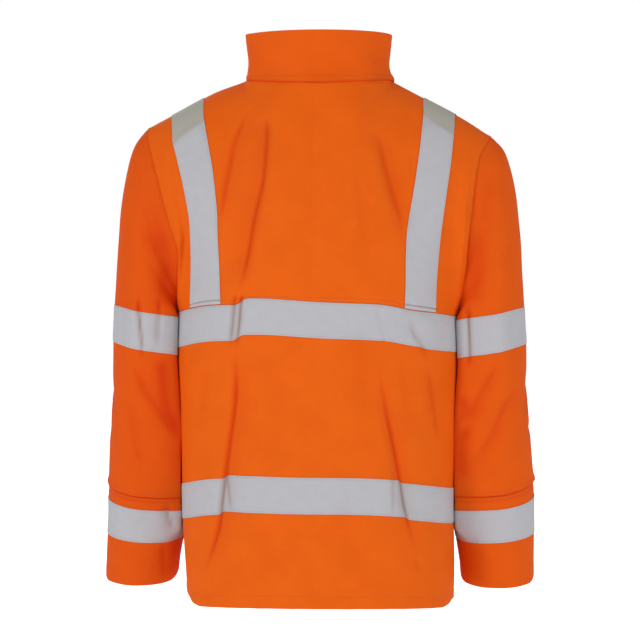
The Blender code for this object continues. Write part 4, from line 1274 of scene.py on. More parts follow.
@dataclass(frozen=True)
class Thread:
    """Twisted sewing thread of one colour."""

    name: str
    dark: tuple[float, float, float]
    light: tuple[float, float, float]

    def make(self) -> Material:
        """The material."""
        bench = Bench(self.name)
        where = bench.in_space()
        twist = bench.add("TexWave", {"Vector": where, "Scale": 700.0, "Distortion": 2.0},
                          wave_type="BANDS", bands_direction="DIAGONAL").outputs["Fac"]
        bench.relief(twist, 0.0001, 0.7)
        return bench.finish(Base_Color=bench.between(twist, self.dark, self.light, 0.2, 0.8),
                            Roughness=0.6, Sheen_Weight=0.2)


@dataclass
class Finishes:
    """The jacket's materials, each made once."""

    cloth: Material = field(default_factory=CoatedCloth().make)
    backing: Material = field(default_factory=KnittedBacking().make)
    tape: Material = field(default_factory=ReflectiveTape().make)
    zip_tape: Material = field(default_factory=WovenTape().make)
    teeth: Material = field(default_factory=MouldedTeeth().make)
    metal: Material = field(default_factory=BrushedMetal().make)
    orange_thread: Material = field(
        default_factory=Thread("orange_thread", (0.40, 0.05, 0.004), (0.66, 0.09, 0.008)).make)
    grey_thread: Material = field(
        default_factory=Thread("grey_thread", (0.26, 0.26, 0.27), (0.48, 0.48, 0.49)).make)


# --- Pieces --------------------------------------------------------------------


def absorb(work: BMesh, part: BMesh) -> None:
    """Adds a part to a mesh and frees the part."""
    mesh = bpy.data.meshes.new("part")
    part.to_mesh(mesh)
    part.free()
    work.from_mesh(mesh)
    bpy.data.meshes.remove(mesh)


def copies(work: BMesh, frames: Array) -> BMesh:
    """Joins many copies of a small shape into one mesh.

    Args:
        work: the shape, in millimetres, which is freed.
        frames: for each copy, its three axes and its place.

    Returns:
        The joined mesh, in metres.
    """
    bmesh.ops.triangulate(work, faces=work.faces)
    corners = np.array([vertex.co[:] for vertex in work.verts])
    faces = np.array([[vertex.index for vertex in face.verts] for face in work.faces])
    work.free()
    turned = np.einsum("ci,nij->ncj", corners, frames[:, :3]) + frames[:, None, 3]
    count, size = len(frames), len(corners)
    every = (faces[None] + (np.arange(count) * size)[:, None, None]).reshape(-1)
    mesh = bpy.data.meshes.new("copies")
    mesh.vertices.add(count * size)
    mesh.vertices.foreach_set("co", (turned * MM).reshape(-1))
    mesh.loops.add(len(every))
    mesh.loops.foreach_set("vertex_index", every)
    mesh.polygons.add(count * len(faces))
    mesh.polygons.foreach_set("loop_start", np.arange(count * len(faces)) * 3)
    mesh.update(calc_edges=True)
    joined = bmesh.new()
    joined.from_mesh(mesh)
    bpy.data.meshes.remove(mesh)
    return joined


def add_object(name: str, work: BMesh, body: str, slot: str,
               materials: Sequence[Material]) -> bpy.types.Object:
    """Makes an object of a bmesh and rides it on its body.

    Args:
        name: the piece's name.
        work: its mesh, in metres, which is freed.
        body: the body that it rides on.
        slot: not used.
        materials: its materials.

    Returns:
        The object.
    """
    mesh = bpy.data.meshes.new(name)
    work.to_mesh(mesh)
    work.free()
    mesh.shade_smooth()
    for material in materials:
        mesh.materials.append(material)
    piece = bpy.data.objects.new(name, mesh)
    bpy.context.scene.collection.objects.link(piece)
    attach(piece, body)
    LOG.info("%s: %d faces", name, len(mesh.polygons))
    return piece


@dataclass
class Cut:
    """A flat piece of cloth as sewn into the jacket: its grid of places and its wall."""

    node: str
    points: Array
    slot: str
    materials: Sequence[Material]
    wall: float
    held: str
    rests_on: tuple[str, ...] = ()
    closed: bool = False
    rim: float = 0.3
    # The share of painted shade at each place, which the materials read.
    painted_shades: Array | None = None

    def make(self) -> bpy.types.Object:
        """The cloth as a thin shell, riding on the jacket in its node's place."""
        rows, columns = self.points.shape[:2]
        work = bmesh.new()
        cut = work.loops.layers.uv.new("cut")
        bmesh.ops.create_grid(work, x_segments=columns - 1, y_segments=rows - 1, size=1.0)
        work.verts.ensure_lookup_table()
        # Each vertex carries its share of painted shade, for the materials to read.
        deep = work.verts.layers.float.new("painted_shade")
        painted_shades = np.zeros((rows, columns)) if self.painted_shades is None else self.painted_shades
        places = (self.points.reshape(-1, 3) * MM).tolist()
        for vertex, place, painted_shade in zip(work.verts, places, painted_shades.reshape(-1).tolist()):
            vertex.co = place
            vertex[deep] = painted_shade
        along = runs(self.points, 1) * MM
        flat = np.stack((along - along[:, -1:] / 2, runs(self.points, 0) * MM), axis=-1)
        flat = flat.reshape(-1, 2).tolist()
        for face in work.faces:
            for loop in face.loops:
                loop[cut].uv = flat[loop.vert.index]
        area = sum(face.calc_area() for face in work.faces)
        if self.closed:
            starts = range(0, rows * columns, columns)
            ends = {work.verts[start + columns - 1]: work.verts[start] for start in starts}
            bmesh.ops.weld_verts(work, targetmap=ends)
        name = self.node + "_cloth"
        piece = add_object(name, work, "jacket", self.slot, self.materials)
        wall = piece.modifiers.new("wall", "SOLIDIFY")
        wall.thickness = self.wall * MM
        wall.offset = -1.0
        wall.material_offset = len(self.materials) - 1
        rim = piece.modifiers.new("rim", "BEVEL")
        rim.width = self.rim * MM
        rim.segments = 2
        rim.limit_method = "ANGLE"
        rim.angle_limit = math.radians(55)
        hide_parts(self.node)
        return piece


def cut_cloth(finishes: Finishes, node: str, points: Array, painted_shades: Array,
              closed: bool = False) -> None:
    """Makes a panel of coated cloth."""
    Cut(node, points, "cloth", (finishes.cloth, finishes.backing), CLOTH_WALL, "hung",
        closed=closed, painted_shades=painted_shades).make()


def cut_tape(finishes: Finishes, node: str, points: Array, painted_shades: Array, on: tuple[str, ...],
             closed: bool = False) -> None:
    """Makes a length of reflective tape."""
    Cut(node, points, "reflective_tape", (finishes.tape,), TAPE_WALL, "laid", on,
        closed=closed, rim=0.12, painted_shades=painted_shades).make()


@dataclass
class Sewing:
    """Rows of stitches, gathered and made as one piece for each part of the jacket."""

    pitch: float = 3.6
    length: float = 2.7
    width: float = 0.62
    height: float = 0.5
    wobble: float = 0.035

    def __post_init__(self) -> None:
        """Starts with no stitches."""
        self.places: list[Array] = []

    def row(self, form: Form, u: Array | float, v: Array | float, lift: float) -> None:
        """Adds a row of stitches along a line on a form.

        Args:
            form: what the row is sewn to.
            u: the line's places rightwards.
            v: the line's places upwards.
            lift: how far the stitches' middle lies out of the cloth's face.
        """
        u, v = np.broadcast_arrays(u, v)
        lengths = runs(form.place(u.astype(float), v.astype(float))[None], 1)[0]
        count = max(2, int(lengths[-1] / self.pitch))
        middles = (np.arange(count) + 0.5) / count * lengths[-1]
        at_u, at_v = np.interp(middles, lengths, u), np.interp(middles, lengths, v)
        points, normals = form.face(at_u, at_v)
        on_u = np.interp(middles + 0.6, lengths, u)
        on_v = np.interp(middles + 0.6, lengths, v)
        along = unit(form.place(on_u, on_v) - points)
        along[-1] = along[-2]
        across = unit(np.cross(normals, along))
        turned = np.sin(np.arange(count) * 2.4)[:, None]
        along = unit(along + across * turned * self.wobble)
        across = np.cross(normals, along)
        self.places.append(np.stack((along, across, normals, points + normals * lift), axis=1))

    def make(self, name: str, material: Material, slot: str) -> None:
        """Makes all of the rows' stitches as one joined mesh."""
        stitch = bmesh.new()
        bmesh.ops.create_icosphere(stitch, subdivisions=1, radius=0.5)
        bmesh.ops.scale(stitch, vec=(self.length, self.width, self.height), verts=stitch.verts)
        add_object(name, copies(stitch, np.concatenate(self.places)), "jacket", slot, (material,))


# --- The jacket ----------------------------------------------------------------


@dataclass
class Body:
    """The back, its yoke, the two fronts and the tapes round the body and over the shoulders."""

    finishes: Finishes
    back: BodyForm = field(default_factory=lambda: BodyForm(View.BACK, BACK_CREASES))
    yoke: BodyForm = field(default_factory=lambda: BodyForm(View.BACK, BACK_CREASES, yoke_lift=1.6))
    front: BodyForm = field(default_factory=lambda: BodyForm(View.FRONT, FRONT_CREASES))
    waist_top: float = -548.0
    tape_below_yoke: float = 0.8
    band_drop: float = 49.2
    tuck: float = 12.0
    brace_edges: dict[str, Table] = field(default_factory=lambda: {
        # v, inner, outer
        "left": Table((-313.0, 0.468, 0.674), (-277.0, 0.467, 0.668), (-232.0, 0.466, 0.659),
                      (-199.0, 0.463, 0.657), (-156.0, 0.470, 0.668), (-110.0, 0.488, 0.690),
                      (-79.0, 0.498, 0.702), (-52.0, 0.503, 0.692), (-10.0, 0.498, 0.687),
                      (17.0, 0.495, 0.684)),
        "right": Table((-313.0, 0.452, 0.631), (-284.0, 0.4515, 0.630), (-250.0, 0.4465, 0.633),
                       (-220.0, 0.4455, 0.634), (-190.0, 0.455, 0.640), (-150.0, 0.4665, 0.647),
                       (-114.0, 0.4715, 0.650), (-79.0, 0.471, 0.644), (-45.0, 0.466, 0.630),
                       (-10.0, 0.453, 0.611), (17.0, 0.447, 0.602)),
        "front": Table((-313.0, 0.462, 0.637), (-150.0, 0.468, 0.645), (-60.0, 0.470, 0.640),
                       (17.0, 0.472, 0.640)),
    })
    brace_end: float = 0.6
    brace_lift: float = 0.15
    column_step: float = 2.2
    row_step: float = 4.0

    def columns(self, left: float, right: float) -> Array:
        """Values of u from left to right, at most a step apart."""
        return spread(left, right, (right - left) * self.back.half_girth / self.column_step)

    def cloth(self, name: str, form: BodyForm, u: Array, v: Array) -> None:
        """Makes a panel on its form."""
        cut_cloth(self.finishes, name, form.face(u, v)[0], form.painted_shade(u, v))

    def tape_rows(self, low: float, high: float) -> Array:
        """Rows up a tape, closer beside its edges."""
        inner = self.back.rows(low + 4.5, high - 4.5, self.row_step)
        edge = np.array((0.0, 1.2, TAPE_SEWN_IN, 3.2))
        return np.concatenate((low + edge, inner, high - edge[::-1]))

    def build_panels(self) -> None:
        """Makes the back, the yoke and the two fronts."""
        whole = self.columns(-1.0, 1.0)
        column = self.back.column(whole)
        tucked = CHEST_Z + self.tuck * smooth((0.93 - column) / 0.03) - 1.0 * (column > 0.92)
        rows = self.back.rows(self.back.hem, CHEST_Z, self.row_step)
        shares = (rows - self.back.hem) / (CHEST_Z - self.back.hem)
        levels = blend(self.back.hem, tucked[None, :], shares[:, None])
        self.cloth("back", self.back, whole[None, :], levels)
        rows = np.concatenate((
            CHEST_Z + np.array((0.0, 1.5, 3.5, 6.0, 8.5)),
            self.yoke.rows(CHEST_Z + 12.0, self.yoke.top, self.row_step),
        ))
        self.cloth("back_yoke", self.yoke, whole[None, :], rows[:, None])
        rows = self.front.rows(self.front.hem, self.front.top, self.row_step)[:, None]
        edge = self.front.u_at_x(FRONT_EDGE_X, rows)
        half = self.columns(0.0, 1.0)[None, :]
        u = blend(edge, 1.0, half)
        self.cloth("front_left", self.front, u, rows)
        self.cloth("front_right", self.front, -u[:, ::-1], rows)

    def bands(self) -> tuple[tuple[str, float, float], ...]:
        """Each band of tape round the body: its name, and the levels of its edges."""
        return (
            ("chest_tape", CHEST_Z - self.band_drop, CHEST_Z - self.tape_below_yoke),
            ("waist_tape", self.waist_top - self.band_drop, self.waist_top),
        )

    def build_bands(self) -> None:
        """Makes the chest and waist tapes."""
        whole = self.columns(-1.0, 1.0)[None, :]
        half = self.columns(0.0, 1.0)[None, :]
        for name, low, high in self.bands():
            rows = self.tape_rows(low, high)[:, None]
            height = tape_height(rows - low, high - rows)
            cut_tape(self.finishes, name + "_back", self.back.lifted(whole, rows, height),
                     self.back.painted_shade(whole, rows), ("back_cloth",))
            edge = self.front.u_at_x(FRONT_EDGE_X, rows)
            u = blend(edge, 1.0, half)
            for side, across in (("left", u), ("right", -u[:, ::-1])):
                cut_tape(self.finishes, f"{name}_front_{side}",
                         self.front.lifted(across, rows, height),
                         self.front.painted_shade(across, rows), (f"front_{side}_cloth",))

    def brace_at(self, side: str, v: Array) -> tuple[Array, Array]:
        """The u of a brace's inner and outer edges on the back."""
        edges = self.brace_edges[side].at(v)
        return edges[..., 0], edges[..., 1]

    def front_brace_at(self, side: str, v: Array) -> tuple[Array, Array]:
        """The u of a brace's edges on the front, which start where the back's end."""
        edges = self.brace_edges["front"].at(v)
        top = self.brace_edges[side].at(np.full_like(v, self.front.top))
        meets = self.brace_edges["front"].at(np.full_like(v, self.front.top))
        edges = edges + (top - meets) * smooth((v + 180.0) / 190.0)[..., None]
        return edges[..., 0], edges[..., 1]

    def build_braces(self) -> None:
        """Makes the tapes over the shoulders."""
        start = CHEST_Z + self.brace_end
        rows = np.concatenate((
            start + np.array((0.0, 2.0, 4.2, 4.8, 5.4, 6.0, 6.6)),
            self.yoke.rows(start + 8.0, self.yoke.top, self.row_step),
        ))[:, None]
        # The sewn line near the brace's end is a small dent that also gets a painted shadow.
        sewn = bell(rows - start - 5.4, 0.9)
        down = self.front.rows(CHEST_Z, self.front.top, self.row_step)[::-1, None]
        count = 17
        for side in ("left", "right"):
            shares = np.linspace(0.0, 1.0, count)[None, :]
            outwards = shares if side == "right" else 1.0 - shares
            sign = 1.0 if side == "right" else -1.0
            behind = blend(*self.brace_at(side, rows), outwards) * sign
            ahead = blend(*self.front_brace_at(side, down), outwards) * -sign
            across = shares * TAPE_WIDTH
            height = tape_height(across, TAPE_WIDTH - across)
            over = self.yoke.lifted(behind, rows, height + self.brace_lift - 0.35 * sewn)
            under = self.front.lifted(ahead, down, height + self.brace_lift)
            seam = (over[-1:] + under[:1]) / 2 + np.array((0.0, 0.0, 0.7))
            points = np.concatenate((over[:-1], seam, under[1:]))
            # The sewn line's painted shadow is added to the creases' painted shade.
            painted_shades = (self.yoke.painted_shade(behind, rows) + sewn, self.front.painted_shade(ahead, down)[1:])
            cut_tape(self.finishes, f"brace_{side}", points, np.concatenate(painted_shades),
                     ("back_yoke_cloth", f"front_{side}_cloth"))

    def sew(self) -> None:
        """Sews the hem, the yoke's hem, the fronts' edges and the tapes."""
        orange = Sewing()
        whole = np.linspace(-0.995, 0.995, 400)
        hem = self.back.hem + HEM_SEWN
        orange.row(self.back, whole, hem, STITCH_LIFT)
        orange.row(self.yoke, whole, CHEST_Z + YOKE_SEWN, STITCH_LIFT)
        half = np.linspace(0.0, 0.995, 200)
        for sign in (1.0, -1.0):
            u = blend(self.front.u_at_x(9.0, np.array(hem)), 1.0, half) * sign
            orange.row(self.front, u, hem, STITCH_LIFT)
            rows = np.linspace(self.front.hem + 3.0, self.front.top - 3.0, 300)
            orange.row(self.front, self.front.u_at_x(10.0, rows) * sign, rows, STITCH_LIFT)
        orange.make("body_stitches", self.finishes.orange_thread, "cloth")
        grey = Sewing()
        for _, low, high in self.bands():
            for level in (low + TAPE_SEWN_IN, high - TAPE_SEWN_IN):
                grey.row(self.back, whole, level, TAPE_STITCH_LIFT)
                for sign in (1.0, -1.0):
                    u = blend(self.front.u_at_x(7.5, np.array(level)), 1.0, half) * sign
                    grey.row(self.front, u, level, TAPE_STITCH_LIFT)
        lift = TAPE_STITCH_LIFT + self.brace_lift
        rows = np.linspace(CHEST_Z + 3.0, self.yoke.top - 1.5, 200)
        for share in (TAPE_SEWN_IN / TAPE_WIDTH, 1.0 - TAPE_SEWN_IN / TAPE_WIDTH):
            for side, sign in (("right", 1.0), ("left", -1.0)):
                behind = blend(*self.brace_at(side, rows), share) * sign
                grey.row(self.yoke, behind, rows, lift)
                ahead = blend(*self.front_brace_at(side, rows), share) * -sign
                grey.row(self.front, ahead, rows, lift)
        across = np.linspace(0.03, 0.97, 30)
        for side, sign in (("right", 1.0), ("left", -1.0)):
            level = CHEST_Z + YOKE_SEWN
            u = blend(*self.brace_at(side, np.full_like(across, level)), across) * sign
            grey.row(self.yoke, u, level, TAPE_FACE + self.brace_lift)
        grey.make("tape_stitches", self.finishes.grey_thread, "reflective_tape")

    def build(self) -> None:
        """Makes the body's cloth, tape and sewing."""
        self.build_panels()
        self.build_bands()
        self.build_braces()
        self.sew()


@dataclass
class Sleeve:
    """A sleeve, its cuff and its two bands of tape."""

    finishes: Finishes
    left: bool
    around: int = 121
    row_step: float = 4.0
    tuck: float = 8.0
    # Painted shade over the whole of each sleeve's cloth, for the right and then the left sleeve.
    overall_painted_shade: tuple[float, float] = (0.35, 0.5)

    def __post_init__(self) -> None:
        """Lays out the sleeve's form."""
        self.side = "left" if self.left else "right"
        creases = SLEEVE_LEFT_CREASES if self.left else SLEEVE_RIGHT_CREASES
        self.form = SleeveForm(self.left, creases)
        self.cuff_form = SleeveForm(self.left, creases, tucked=True)

    def build(self) -> None:
        """Makes the sleeve's cloth, tape and sewing."""
        form = self.form
        u = np.linspace(0.0, 1.0, self.around)[None, :]
        overall_painted_shade = self.overall_painted_shade[self.left]
        seam = form.v_at(form.cuff_seam, np.array((0.0, 0.8, 2.8, 4.0, 5.2)))
        above = form.rows(float(form.v_at(form.cuff_seam, 9.0)), form.armhole_ring, self.row_step)
        upper = np.concatenate((seam, above))[:, None]
        cut_cloth(self.finishes, f"sleeve_{self.side}", form.face(u, upper)[0],
                  form.painted_shade(u, upper) + overall_painted_shade, True)
        seam = form.v_at(form.cuff_seam, np.array((-8.0, -6.5, -5.0, -2.6, -1.2, 0.0, self.tuck)))
        below = form.rows(0.0, float(form.v_at(form.cuff_seam, -11.0)), self.row_step)
        lower = np.concatenate((below, seam))[:, None]
        cut_cloth(self.finishes, f"cuff_{self.side}", self.cuff_form.face(u, lower)[0],
                  form.painted_shade(u, lower) + overall_painted_shade, True)
        for name, (low, high), on in (("arm_tape", form.arm_tape, "sleeve"),
                                      ("cuff_tape", form.cuff_tape, "cuff")):
            rows = form.rows(low, high, 2.0)[:, None]
            across = (rows - low) / (high - low) * TAPE_WIDTH
            height = tape_height(across, TAPE_WIDTH - across, 1.2)
            cut_tape(self.finishes, f"{name}_{self.side}", form.lifted(u, rows, height),
                     form.painted_shade(u, rows), (f"{on}_{self.side}_cloth",), True)
        self.sew()

    def sew(self) -> None:
        """Sews the cuff's hem and seam, and the tapes."""
        form = self.form
        u = np.linspace(0.0, 1.0, 240)
        orange = Sewing()
        for ring, further in ((0.0, CUFF_HEM_SEWN), (form.cuff_seam, 4.0),
                              (form.cuff_seam, -CUFF_SEAM_SEWN)):
            orange.row(form, u, float(form.v_at(ring, further)), STITCH_LIFT)
        orange.make(f"sleeve_{self.side}_stitches", self.finishes.orange_thread, "cloth")
        grey = Sewing()
        for low, high in (form.arm_tape, form.cuff_tape):
            inwards = TAPE_SEWN_IN / TAPE_WIDTH * (high - low)
            for ring in (low + inwards, high - inwards):
                grey.row(form, u, ring, TAPE_STITCH_LIFT)
        grey.make(f"sleeve_{self.side}_tape_stitches", self.finishes.grey_thread, "reflective_tape")


@dataclass
class Collar:
    """The tall stand collar."""

    finishes: Finishes
    form: CollarForm = field(default_factory=CollarForm)
    wall: float = 1.5
    # Painted shade over the whole of the collar's cloth.
    overall_painted_shade: float = 0.25

    def build(self) -> None:
        """Makes the collar's cloth and sewing."""
        u = np.linspace(-1.0, 1.0, 221)[None, :]
        v = np.concatenate((np.linspace(0.0, 0.2, 9), np.linspace(0.24, 0.88, 17),
                            np.linspace(0.9, 1.0, 8)))[:, None]
        Cut("collar", self.form.face(u, v)[0], "cloth",
            (self.finishes.cloth, self.finishes.backing), self.wall, "hung", rim=0.5,
            painted_shades=self.form.painted_shade(u, v) + self.overall_painted_shade).make()
        sewing = Sewing()
        end = 0.985
        sewing.row(self.form, np.linspace(-end, end, 500), 0.045, STITCH_LIFT)
        for sign in (1.0, -1.0):
            sewing.row(self.form, sign * end, np.linspace(0.05, 0.93, 60), STITCH_LIFT)
        sewing.make("collar_stitches", self.finishes.orange_thread, "cloth")


def add_block(work: BMesh, low: tuple[float, float, float],
              high: tuple[float, float, float], corner: float = 0.0, rim: float = 0.2,
              foot: float = 1.0) -> None:
    """Adds a block with rounded corners and softened edges.

    Args:
        work: the mesh to add it to, in millimetres, with -Y facing out.
        low: its lowest x, y and z.
        high: its highest x, y and z.
        corner: how far its four corners are rounded, seen from the front.
        rim: how far every other edge is softened.
        foot: its width at the bottom, as a share of its width.
    """
    part = bmesh.new()
    bmesh.ops.create_cube(part, size=1.0)
    size = Vector(high) - Vector(low)
    bmesh.ops.scale(part, vec=size, verts=part.verts)
    for vertex in part.verts:
        if vertex.co.z < 0.0:
            vertex.co.x *= foot
    if corner:
        along = [edge for edge in part.edges if abs(edge.verts[0].co.y - edge.verts[1].co.y) > 0.1]
        bmesh.ops.bevel(part, geom=along, offset=corner, segments=5, profile=0.5, affect="EDGES",
                        material=-1)
    sharp = [edge for edge in part.edges if edge.calc_face_angle(0.0) > math.radians(40)]
    bmesh.ops.bevel(part, geom=sharp, offset=rim, segments=2, profile=0.5, affect="EDGES",
                    material=-1)
    bmesh.ops.translate(part, vec=(Vector(low) + Vector(high)) / 2, verts=part.verts)
    absorb(work, part)


@dataclass
class Zip:
    """The front's zip: side tapes, toothed chain, slider, and the pull tab that hangs from it."""

    finishes: Finishes
    front: BodyForm
    collar: CollarForm
    hinge: tuple[float, float, float] = (0.0, -100.217, 20.836)
    hinge_out: float = 2.9
    tilt: float = 3.45
    end_clear: float = 4.0
    chain_below_top: float = 17.0
    stop_height: float = 9.0
    stop_past_chain: float = 0.5
    tape_depth: float = 1.5
    tape_wall: float = 0.6
    tape_from: float = 0.4
    tape_to: float = 16.0
    tooth_pitch: float = 2.3
    tooth_size: tuple[float, float, float] = (3.7, 2.2, 1.0)
    half_chain: float = 2.9
    chain_depth: float = 1.4
    plate: tuple[float, float, float] = (8.6, 1.2, 13.0)
    plate_out: float = 0.4
    back_plate_in: float = 4.3
    arch: tuple[float, float, float] = (2.4, 8.0, 3.6)
    arch_wall: float = 1.0
    pull: tuple[float, float, float] = (7.2, 1.4, 38.0)
    pull_eye: float = 5.0
    pull_arm: float = 2.0

    def line(self, x: float) -> Array:
        """The outer face's places up the zip, at this distance from its middle."""
        side = math.copysign(1.0, x)
        v = np.linspace(self.front.hem, self.front.top, 220)
        on_front = self.front.place(side * self.front.u_at_x(abs(x), v), v)
        share = np.linspace(0.17, 1.0, 30)
        turn = (math.pi - math.asin(abs(x) / NECK_POINT[0])) / self.collar.half_turn
        on_collar = self.collar.place(np.full_like(share, -side * turn), share)
        points = np.concatenate((on_front, on_collar))
        lengths = runs(points[None], 1)[0]
        even = np.linspace(0.0, lengths[-1], 800)
        points = read_line(points, lengths, even)
        reach = 9
        before = 2 * points[:1] - points[reach:0:-1]
        after = 2 * points[-1:] - points[-2:-reach - 2:-1]
        padded = np.concatenate((before, points, after))
        return sum(padded[k:k + 800] for k in range(2 * reach + 1)) / (2 * reach + 1)

    def build(self) -> None:
        """Makes the zip's pieces."""
        self.middle = (self.line(FRONT_EDGE_X) + self.line(-FRONT_EDGE_X)) / 2
        self.up = unit(np.gradient(self.middle, axis=0))
        self.out = unit(np.cross(np.array((1.0, 0.0, 0.0)), self.up))
        self.build_tapes()
        self.build_chain()
        self.build_slider()
        self.build_pull()

    def build_tapes(self) -> None:
        """Makes the two woven side tapes, behind the fronts' edges."""
        lengths = runs(self.middle[None], 1)[0]
        rows = np.linspace(self.end_clear, lengths[-1] - self.end_clear, 190)
        for side, low, high in (("left", self.tape_from, self.tape_to),
                                ("right", -self.tape_to, -self.tape_from)):
            columns = [read_line(self.line(float(x)) - self.out * self.tape_depth, lengths, rows)
                       for x in np.linspace(low, high, 8)]
            Cut(f"zip_tape_{side}", np.stack(columns, axis=1), "zip_fabric",
                (self.finishes.zip_tape,), self.tape_wall, "hung", rim=0.1).make()

    def build_chain(self) -> None:
        """Makes the two rows of teeth as they mesh, with the stops at both ends."""
        lengths = runs(self.middle[None], 1)[0]
        width, depth, height = self.tooth_size
        start = self.end_clear + self.stop_height
        end = lengths[-1] - self.chain_below_top
        across = np.array((1.0, 0.0, 0.0))
        frames = []
        for side, shift in ((1.0, 0.0), (-1.0, self.tooth_pitch / 2)):
            for length in np.arange(start + shift, end, self.tooth_pitch):
                place, up, out = (read_line(line, lengths, length)
                                  for line in (self.middle, self.up, self.out))
                aside = across * side * (self.half_chain - width / 2)
                middle = place - out * self.chain_depth + aside
                frames.append((across * side, -out, up * side, middle))
        tooth = bmesh.new()
        add_block(tooth, (-width / 2, -depth / 2, -height / 2), (width / 2, depth / 2, height / 2),
                  rim=0.18)
        teeth = copies(tooth, np.array(frames))
        stops = bmesh.new()
        half, thick = self.half_chain + self.stop_past_chain, depth / 2 + 0.3
        add_block(stops, (-half, -thick, 0.0), (half, thick, self.stop_height), 1.0)
        for side in (-1.0, 1.0):
            x = sorted((side * 2.0, side * (self.half_chain + 0.9)))
            top = lengths[-1] - self.end_clear - 3.0
            add_block(stops, (x[0], -depth / 2, top - 2.0), (x[1], depth / 2, top + 2.0), 0.5)
        for vertex in stops.verts:
            length = self.end_clear + vertex.co.z if vertex.co.z < 20.0 else vertex.co.z
            place, out = (read_line(line, lengths, length) for line in (self.middle, self.out))
            vertex.co = place - out * (self.chain_depth + vertex.co.y) + across * vertex.co.x
        bmesh.ops.recalc_face_normals(stops, faces=stops.faces)
        bmesh.ops.scale(stops, vec=(MM, MM, MM), verts=stops.verts)
        absorb(teeth, stops)
        piece = add_object("zip_teeth", teeth, "jacket", "zip_teeth", (self.finishes.teeth,))
        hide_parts("zip_chain")

    def build_slider(self) -> None:
        """Makes the slider: two plates, the post between them and the arch on the front one."""
        work = bmesh.new()
        width, wall, height = self.plate
        face = self.plate_out + wall
        for near in (self.plate_out, -self.back_plate_in - wall):
            add_block(work, (-width / 2, -near - wall, -height / 2), (width / 2, -near, height / 2),
                      2.2, 0.25, 0.8)
        add_block(work, (-1.2, -face + 0.4, 1.5), (1.2, self.back_plate_in + 0.4, 4.5), 0.4)
        arch_width, arch_height, reach = self.arch
        strip = bmesh.new()
        bmesh.ops.create_grid(strip, x_segments=4, y_segments=24, size=1.0)
        for vertex in strip.verts:
            turn = (vertex.co.y + 1.0) * math.pi / 2
            along, off = math.cos(turn), math.sin(turn)
            z = -math.copysign(abs(along) ** 0.6, along) * arch_height / 2
            vertex.co = (vertex.co.x * arch_width / 2, -face + 0.4 - (reach + 0.4) * off**0.6, z)
        bmesh.ops.solidify(strip, geom=strip.faces, thickness=self.arch_wall)
        bmesh.ops.recalc_face_normals(strip, faces=strip.faces)
        sharp = [edge for edge in strip.edges if edge.calc_face_angle(0.0) > math.radians(60)]
        bmesh.ops.bevel(strip, geom=sharp, offset=0.22, segments=2, profile=0.5, affect="EDGES",
                        material=-1)
        absorb(work, strip)
        turn = Matrix.Rotation(math.radians(self.tilt), 4, "X")
        place = Vector(self.hinge) - turn @ Vector((0.0, -self.hinge_out, 0.0))
        work.transform(Matrix.Scale(MM, 4) @ Matrix.Translation(place) @ turn)
        piece = add_object("zip_slider_metal", work, "jacket", "zip_metal", (self.finishes.metal,))
        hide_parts("zip_slider")

    def build_pull(self) -> None:
        """Makes the pull tab: a bar through the arch, two arms and a long flat tab."""
        work = bmesh.new()
        width, wall, length = self.pull
        half, thick = width / 2, wall / 2
        add_block(work, (-half, -thick, -length), (half, thick, -self.pull_eye), 1.6, 0.25, 0.92)
        for low in (-half, half - self.pull_arm):
            add_block(work, (low, -thick, -self.pull_eye - 1.0),
                      (low + self.pull_arm, thick, thick), 0.6, 0.25)
        bmesh.ops.create_cone(
            work, cap_ends=True, segments=20, radius1=thick, radius2=thick, depth=width - 1.0,
            matrix=Matrix.Rotation(math.pi / 2, 4, "Y"),
        )
        for low in (-33.5, -31.5, -29.5, -27.5):
            add_block(work, (-2.4, -thick - 0.25, low), (2.4, thick + 0.25, low + 0.9), 0.4, 0.12)
        work.transform(Matrix.Scale(MM, 4) @ Matrix.Translation(self.hinge))
        piece = add_object("zip_pull_metal", work, "pull_tab", "zip_metal", (self.finishes.metal,))
        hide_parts("zip_pull")


# --- The stage -----------------------------------------------------------------


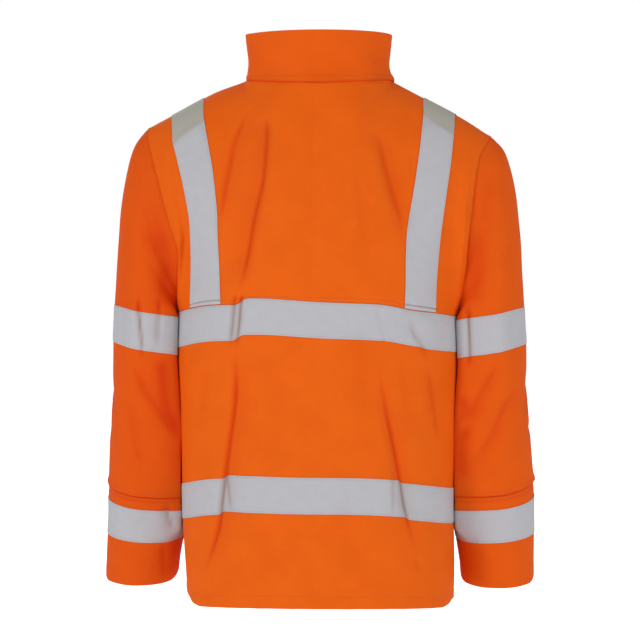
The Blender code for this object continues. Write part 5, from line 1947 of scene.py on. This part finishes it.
@dataclass
class Studio:
    """A pale floor and backdrop, soft light, and the camera."""

    distance: float = 3.3
    azimuth: float = 3.4
    height: float = -0.336
    lens: float = 132.6
    sensor: float = 36.0
    picture_width: float = 640.0
    floor_z: float = -1.47
    floor_glow: float = 0.3
    overhead_light: float = 0.50
    level_light: float = 0.36
    lights: tuple[tuple[float, ...], ...] = (
        # x, y, z, size, watts
        (2.5, 2.7, 0.9, 1.0, 44.0),
        (-2.8, 2.3, 0.6, 2.0, 32.0),
        (0.6, -3.2, 0.6, 2.4, 40.0),
    )

    def build(self) -> None:
        """Makes the floor, the world, the lights and the camera."""
        self.add_floor()
        self.add_world()
        for i, (x, y, z, size, watts) in enumerate(self.lights):
            self.add_light(f"soft_light_{i}", Vector((x, y, z)), size, watts)
        self.add_camera()

    def add_floor(self) -> None:
        """A pale floor, well below the jacket."""
        bench = Bench("pale_floor")
        shade = bench.noise(bench.in_space(), 2.0, 2.0)
        seen = bench.add("LightPath").outputs["Is Camera Ray"]
        glow = bench.add("MapRange", {"Value": seen, 3: self.floor_glow, 4: 1.0})
        material = bench.finish(
            Base_Color=bench.between(shade, (0.88, 0.88, 0.88), (0.9, 0.9, 0.9)), Roughness=0.9,
            Emission_Color=(1.0, 1.0, 1.0, 1.0), Emission_Strength=glow.outputs[0],
        )
        work = bmesh.new()
        bmesh.ops.create_grid(work, x_segments=1, y_segments=1, size=30.0)
        bmesh.ops.translate(work, vec=(0.0, 0.0, self.floor_z), verts=work.verts)
        mesh = bpy.data.meshes.new("floor")
        work.to_mesh(mesh)
        work.free()
        mesh.materials.append(material)
        floor = bpy.data.objects.new("floor", mesh)
        bpy.context.scene.collection.objects.link(floor)

    def add_world(self) -> None:
        """A white surround that lights softly from all sides."""
        world = bpy.data.worlds.new("white_surround")
        world.use_nodes = True
        tree = world.node_tree
        sky = tree.nodes["Background"]
        sky.inputs["Color"].default_value = (1.0, 1.0, 1.0, 1.0)
        place = tree.nodes.new("ShaderNodeTexCoord")
        parts = tree.nodes.new("ShaderNodeSeparateXYZ")
        light = tree.nodes.new("ShaderNodeMapRange")
        light.inputs["To Min"].default_value = self.level_light
        light.inputs["To Max"].default_value = self.overhead_light
        path = tree.nodes.new("ShaderNodeLightPath")
        seen = tree.nodes.new("ShaderNodeMapRange")
        seen.inputs["To Max"].default_value = 1.0
        tree.links.new(place.outputs["Generated"], parts.inputs[0])
        tree.links.new(parts.outputs["Z"], light.inputs["Value"])
        tree.links.new(light.outputs[0], seen.inputs["To Min"])
        tree.links.new(path.outputs["Is Camera Ray"], seen.inputs["Value"])
        tree.links.new(seen.outputs[0], sky.inputs["Strength"])
        bpy.context.scene.world = world

    def add_light(self, name: str, place: Vector, size: float, watts: float) -> None:
        """A large soft light that faces the middle of the jacket."""
        light = bpy.data.lights.new(name, "AREA")
        light.shape = "DISK"
        light.size = size
        light.energy = watts
        lamp = bpy.data.objects.new(name, light)
        lamp.location = place
        towards = Vector((0.0, 0.0, self.height)) - place
        lamp.rotation_euler = towards.to_track_quat("-Z", "Y").to_euler()
        bpy.context.scene.collection.objects.link(lamp)

    def add_camera(self) -> None:
        """A level camera behind the jacket, a little to its right."""
        data = bpy.data.cameras.new("camera")
        data.lens = self.lens
        data.sensor_width = self.sensor
        data.shift_x = 1.0 / self.picture_width
        camera = bpy.data.objects.new("camera", data)
        turn = math.radians(self.azimuth)
        x, y = -self.distance * math.sin(turn), self.distance * math.cos(turn)
        camera.location = (x, y, self.height)
        camera.rotation_euler = (math.pi / 2, 0.0, math.pi + turn)
        bpy.context.scene.collection.objects.link(camera)
        bpy.context.scene.camera = camera
        bpy.context.scene.view_settings.view_transform = "Standard"


def main() -> None:
    """Builds the jacket and its stage."""
    logging.basicConfig(level=logging.INFO, format="%(message)s")
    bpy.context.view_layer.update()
    Studio().build()
    finishes = Finishes()
    body = Body(finishes)
    body.build()
    Sleeve(finishes, True).build()
    Sleeve(finishes, False).build()
    collar = Collar(finishes)
    collar.build()
    Zip(finishes, body.front, collar.form).build()


if __name__ == "__main__":
    main()
